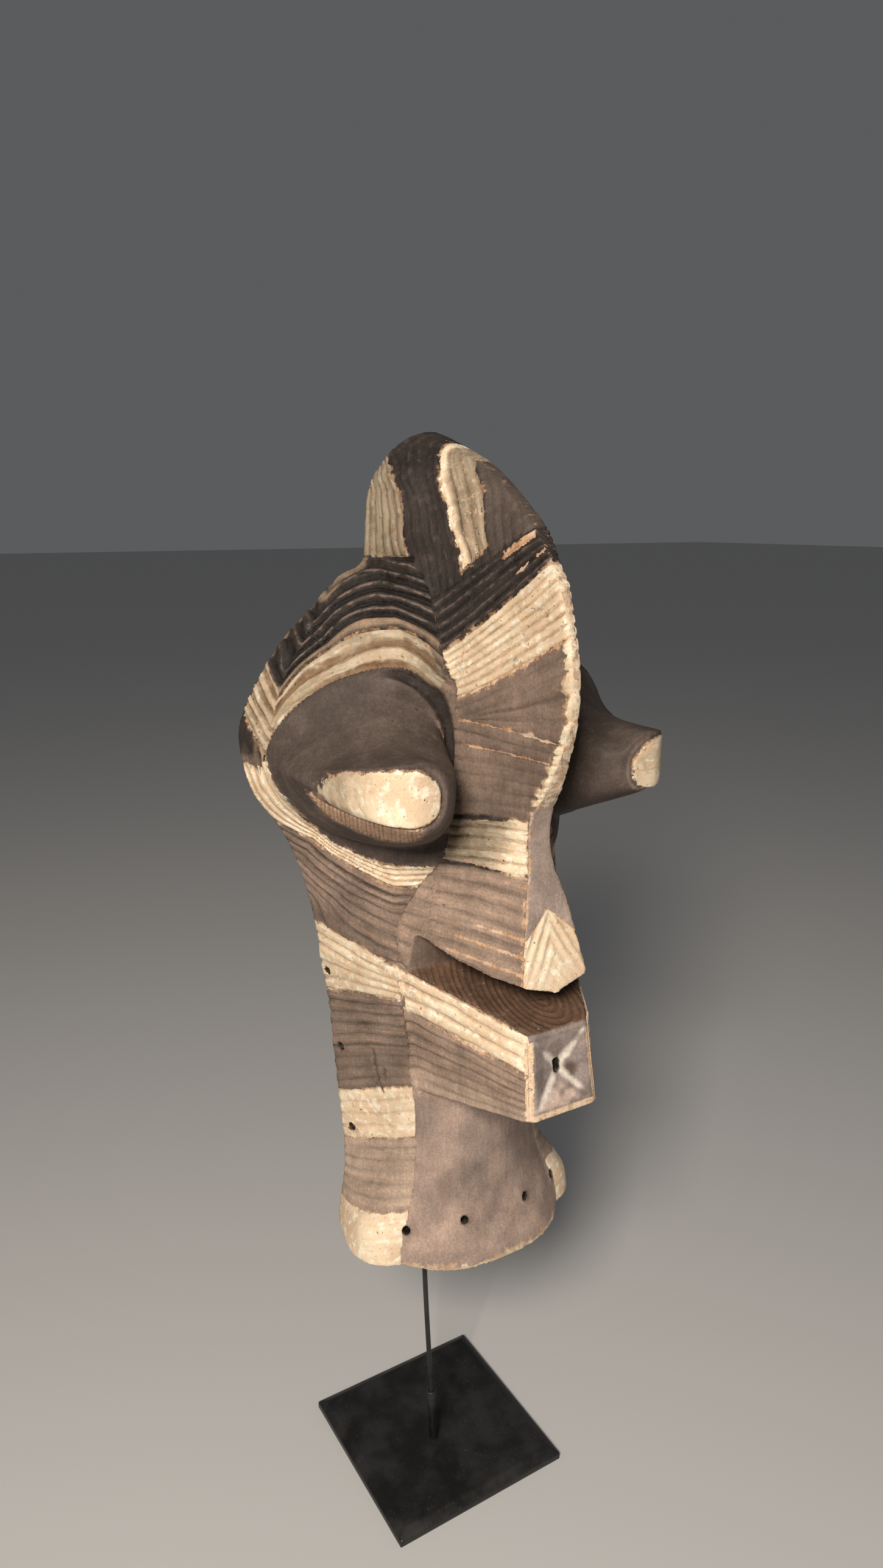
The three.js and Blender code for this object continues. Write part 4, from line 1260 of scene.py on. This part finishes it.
def painted_wood():
    n = Nodes("painted_wood")
    cream, wear, rub, depth, count, soil = [
        n.attribute(name) for name in ("cream", "wear", "rub", "depth", "count", "soil")]
    fine = n.noise(1.4, 5, 0.6)
    middle = n.noise(5, 4)
    broad = n.noise(26, 3)
    patches = n.noise(11, 3)
    grain = n.noise(2.6, 4, 0.6, (1, 1, 0.12))
    # grooves drawn from their own count, so that they stay crisp between the mesh's points
    uneven = n.total(count, n.centred(middle, 0.22))
    across = n.math("ABSOLUTE", n.math("SUBTRACT", n.math("FRACT", uneven), 0.5))
    across = n.product(across, 2.0)
    groove = n.range(across, 0.0, n.attribute("share"), 1.0, 0.0)
    groove = n.product(groove, n.range(n.attribute("cut"), 0.02, 0.3), depth)
    ridge = n.product(n.range(across, 0.72, 0.97), depth, n.range(middle, 0.35, 0.62))
    # streaks that follow the grooves: quick change across them and slow change along them
    streaks = n.along_grooves(count, 2.3, 45)
    groove = n.product(groove, n.range(streaks, 0.32, 0.6, 1.0, 0.45),
                       n.range(patches, 0.34, 0.55, 0.6, 1.0))
    groove = n.math("MINIMUM", groove, 1.0)
    # dark ground: dusty, lighter and rosier on its ridges as rubbed wear and painted highlight,
    # darker in its grooves as dirt and painted shade, streaked along the grain
    tone = n.product(
        n.range(broad, 0.3, 0.7, 0.75, 1.2),
        n.range(grain, 0.3, 0.7, 0.92, 1.08),
        n.range(fine, 0.35, 0.65, 0.88, 1.12),
        n.mix(depth, (1, 1, 1), n.range(streaks, 0.3, 0.7, 0.78, 1.25)),
    )
    dark = n.scaled(n.attribute("ground", "Color"), tone)
    dark = n.mix(n.product(n.range(middle, 0.5, 0.75), 0.09), dark, FINISH["dust"])
    scratches = n.range(n.noise(1.0, 3, 0.5, (1, 1, 0.07)), 0.62, 0.70)
    dark = n.mix(n.product(scratches, 0.22), dark, n.scaled(dark, 2.0))
    rosy = n.mix(n.range(patches, 0.42, 0.6), FINISH["rosy"], FINISH["rosier"])
    # ridges lighter and rosier: rubbed wear and painted highlight
    dark = n.mix(n.product(ridge, 0.4), dark, FINISH["ridge"], "LIGHTEN")
    dark = n.mix(ridge, dark, n.mix(1.0, dark, rosy, "MULTIPLY"))
    # grooves darker: dirt and painted shade
    dark = n.mix(n.product(groove, 0.8), dark, n.scaled(dark, 0.28))
    # bare wood where edges are rubbed
    bare = n.mix(n.range(grain, 0.35, 0.65), FINISH["bare_dark"], FINISH["bare_light"])
    bare = n.mix(n.product(n.range(patches, 0.52, 0.62), 0.7), bare, FINISH["bare_pale"])
    # cream paint with a broken edge and a fringe of bare wood along it
    level = n.total(cream, n.centred(middle, 4.5), n.centred(fine, 2.5))
    flaked = n.range(n.noise(2.1, 3, 0.6), 0.655, 0.70)
    thin = n.range(n.total(broad, n.product(rub, 0.18)), 0.66, 0.74)
    flaked = n.math("MAXIMUM", flaked, n.product(thin, n.range(fine, 0.42, 0.55)))
    painted = n.product(n.range(level, -0.35, 0.35), n.math("SUBTRACT", 1.0, flaked))
    fringe = n.product(n.range(level, -1.7, -0.5), n.range(patches, 0.44, 0.56))
    chalk = n.mix(n.range(broad, 0.35, 0.62), FINISH["chalk"], FINISH["old_chalk"])
    chalk = n.mix(n.range(middle, 0.48, 0.66), chalk, FINISH["white_chalk"])
    stain = n.product(n.range(streaks, 0.45, 0.64), n.range(middle, 0.3, 0.6))
    stain = n.math("MAXIMUM", stain, n.product(n.range(patches, 0.5, 0.66), 0.7))
    stain = n.total(n.product(stain, n.range(soil, 0.0, 0.8, 0.25, 1.0)), n.product(soil, 0.3))
    chalk = n.mix(n.product(n.math("MINIMUM", stain, 1.0), 0.75), chalk, FINISH["stain"])
    chalk = n.mix(n.product(n.range(fine, 0.56, 0.68), 0.4), chalk, FINISH["fleck"])
    chalk = n.scaled(chalk, n.range(soil, 0.1, 1.0, 1.0, 0.42))
    # cream darker in its grooves: dirt and painted shade
    chalk = n.mix(n.product(groove, n.range(soil, 0.1, 0.45, 0.6, 0.9)), chalk,
                  n.scaled(chalk, FINISH["groove"]))
    colour = n.mix(n.product(fringe, 0.7), dark, n.mix(0.25, bare, FINISH["fringe"]))
    colour = n.mix(painted, colour, chalk)
    rubbed = n.total(wear, n.centred(fine, 0.9), n.centred(middle, 0.8), n.product(rub, 0.42))
    colour = n.mix(n.product(n.range(rubbed, 0.46, 0.72), 0.8), colour, bare)
    roughness = n.range(middle, 0.3, 0.7, 0.58, 0.82)
    height = n.total(n.product(grain, 0.3), n.product(fine, 0.4),
                     n.product(streaks, depth, 0.7), n.product(painted, 0.3))
    height = n.math("SUBTRACT", height, n.product(groove, 0.9))
    return n.finish(colour, roughness, height, 0.6, 0.8, 0.22)


def black_steel(name, dust):
    n = Nodes(name)
    broad = n.noise(22, 4)
    specks = n.range(n.noise(1.1, 2, 0.6), 0.68, 0.74)
    colour = n.mix(n.range(broad, 0.35, 0.7), *STEEL)
    colour = n.mix(n.product(specks, dust), colour, STEEL_DUST)
    roughness = n.range(broad, 0.3, 0.7, 0.3, 0.52)
    return n.finish(colour, roughness, n.noise(1.5, 4, 0.6), 0.12, 0.4, 0.5, 0.4)


# Stand, as in the CAD
PLATE_SIDE = 130
PLATE_HEIGHT = 8
PLATE_BEVEL = 6
PLATE_BEVEL_DROP = 3
SOCKET_RADIUS = 3.2
SOCKET_TOP_Z = 50
ROD_RADIUS = 1.7
ROD_X = -6.5
ROD_Y = -9
ROD_LEAN = 2.8
ROD_LEAN_Z = (-20, 60, 140)
ROD_INSIDE = ((-16, 225), (-15, 400), (-10, 560), (-9, 640))
ROD_TOP_Z = 612.4
GAP = 0.3
# Rounded ends of rod and socket: how much narrower, and how far from the end
ROD_FOOT = (0.3, 0.4)
ROD_TIP = (0.7, 0.8)
SOCKET_FOOT = ((0.2, 0), (0, 0.3))
SOCKET_RIM = ((0, 0.9), (0.2, 0.3), (0.6, 0))
ROD_LEVELS = 90
ROD_SIDES = 24
SOCKET_SIDES = 32
EDGE_ROUND = 0.8
EDGE_STEPS = 3
# Angles in degrees over which an edge of the plate is rounded, and edges stay sharp
EDGE_ANGLE = 15
PLATE_SHARP = 35
ROUND_SHARP = 50


def smooth(piece, sharp):
    piece.data.shade_smooth()
    piece.data.set_sharp_from_angle(angle=math.radians(sharp))
    return piece


def stand_plate():
    low = PLATE_SIDE / 2
    rise = PLATE_HEIGHT - PLATE_BEVEL_DROP
    steps = ((low, 0), (low, rise), (low - PLATE_BEVEL, PLATE_HEIGHT))
    rings = [np.column_stack([SQUARE * half, np.full(4, z)]) for half, z in steps]
    faces = [(3, 2, 1, 0), (8, 9, 10, 11)]
    for ring in (0, 4):
        for k in range(4):
            faces.append((ring + k, ring + (k + 1) % 4, ring + 4 + (k + 1) % 4, ring + 4 + k))
    piece = new_object("stand_plate_look", np.vstack(rings), faces)
    step = piece.modifiers.new("round", "BEVEL")
    step.width = EDGE_ROUND * MM
    step.segments = EDGE_STEPS
    step.limit_method = "ANGLE"
    step.angle_limit = math.radians(EDGE_ANGLE)
    apply_modifiers(piece)
    return smooth(piece, PLATE_SHARP)


def rod_rings(steps, around):
    """Level rings round the rod's leaning path, with given radii and heights."""
    lean = math.tan(math.radians(ROD_LEAN))
    points = [(ROD_X - lean * level, level) for level in ROD_LEAN_Z] + list(ROD_INSIDE)
    x, heights = np.array(points, float).T
    path = np.column_stack([heights, x])
    angle = angles_round(around)
    rings = []
    for radius, z in steps:
        middle = column_at(path, 1, np.array([z]))[0]
        rings.append(np.column_stack([
            middle + radius * np.cos(angle), ROD_Y + radius * np.sin(angle), np.full(around, z)]))
    return rings


def stand_rod():
    low, high = PLATE_HEIGHT + GAP, ROD_TOP_Z
    heights = np.linspace(low + ROD_FOOT[1], high - ROD_TIP[1], ROD_LEVELS)
    steps = [(ROD_RADIUS - ROD_FOOT[0], low)] + [(ROD_RADIUS, z) for z in heights]
    steps.append((ROD_RADIUS - ROD_TIP[0], high))
    return smooth(ring_object("stand_rod_look", rod_rings(steps, ROD_SIDES)), ROUND_SHARP)


def stand_socket():
    low, high = PLATE_HEIGHT + GAP, SOCKET_TOP_Z
    bore = ROD_RADIUS + GAP
    steps = [(SOCKET_RADIUS - less, low + up) for less, up in SOCKET_FOOT]
    steps += [(SOCKET_RADIUS - less, high - down) for less, down in SOCKET_RIM]
    rings = rod_rings(steps + [(bore, high), (bore, low)], SOCKET_SIDES)
    faces = []
    for i in range(len(rings)):
        a, b = i * SOCKET_SIDES, (i + 1) % len(rings) * SOCKET_SIDES
        for j in range(SOCKET_SIDES):
            k = (j + 1) % SOCKET_SIDES
            faces.append((a + j, a + k, b + k, b + j))
    return smooth(new_object("stand_socket_look", np.vstack(rings), faces), ROUND_SHARP)


def make_mask():
    mask = carve_blank()
    mask.name = "mask_look"
    carve(mask)
    return mask


def add_piece(piece, node, material):
    piece.data.materials.clear()
    piece.data.materials.append(material)
    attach(piece, "root")
    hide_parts(node)


CAMERA_PLACE = (-315.5, -533.5, 654.4)
CAMERA_PITCH = 14.5
CAMERA_TURN = -31
CAMERA_FOCUS = 1700
PHOTO_HEIGHT = 2576
SENSOR = 36
CAMERA_REACH = 50
FLOOR_HALF = 20000
FLOOR_COLOUR = (0.62, 0.61, 0.60, 1)
FLOOR_ROUGHNESS = 0.9
SKY_COLOUR = (0.80, 0.82, 0.85, 1)
SKY_STRENGTH = 0.13
# Lamps: name, place in metres, size, power and colour, all turned to one point
LAMPS = (
    ("key", (-0.85, -0.95, 1.20), 0.35, 28, (1.0, 0.92, 0.82)),
    ("fill", (0.9, -0.9, 0.6), 1.2, 0.6, (0.95, 0.97, 1.0)),
)
LAMP_TARGET = (0, -0.05, 0.42)


def add_lamp(name, place, size, power, colour):
    data = bpy.data.lights.new(name, "AREA")
    data.size = size
    data.energy = power
    data.color = colour
    lamp = bpy.data.objects.new(name, data)
    bpy.context.scene.collection.objects.link(lamp)
    lamp.location = place
    away = np.array(place) - LAMP_TARGET
    flat = math.hypot(away[0], away[1])
    lamp.rotation_euler = (math.atan2(flat, away[2]), 0, math.atan2(away[0], -away[1]))


def studio():
    """Pale floor, soft light and the camera."""
    material = bpy.data.materials.new("pale_floor")
    material.use_nodes = True
    shader = material.node_tree.nodes["Principled BSDF"]
    shader.inputs["Base Color"].default_value = FLOOR_COLOUR
    shader.inputs["Roughness"].default_value = FLOOR_ROUGHNESS
    corners = np.column_stack([SQUARE * FLOOR_HALF, np.zeros(4)])
    floor = new_object("floor", corners, [(0, 1, 2, 3)])
    floor.data.materials.append(material)
    world = bpy.data.worlds.new("studio")
    bpy.context.scene.world = world
    world.use_nodes = True
    background = world.node_tree.nodes["Background"]
    background.inputs["Color"].default_value = SKY_COLOUR
    background.inputs["Strength"].default_value = SKY_STRENGTH
    for lamp in LAMPS:
        add_lamp(*lamp)
    bpy.context.scene.view_settings.view_transform = "Standard"
    camera_data = bpy.data.cameras.new("camera")
    camera_data.sensor_width = SENSOR
    camera_data.lens = SENSOR * CAMERA_FOCUS / PHOTO_HEIGHT
    camera_data.clip_end = CAMERA_REACH
    camera = bpy.data.objects.new("camera", camera_data)
    bpy.context.scene.collection.objects.link(camera)
    camera.location = [value * MM for value in CAMERA_PLACE]
    camera.rotation_euler = (math.radians(90 - CAMERA_PITCH), 0, math.radians(CAMERA_TURN))
    bpy.context.scene.camera = camera


studio()
add_piece(make_mask(), "mask", painted_wood())
add_piece(stand_rod(), "stand_rod", black_steel("black_rod", 0.15))
add_piece(stand_socket(), "stand_socket", black_steel("black_socket", 0.15))
add_piece(stand_plate(), "stand_plate", black_steel("black_plate", 0.6))
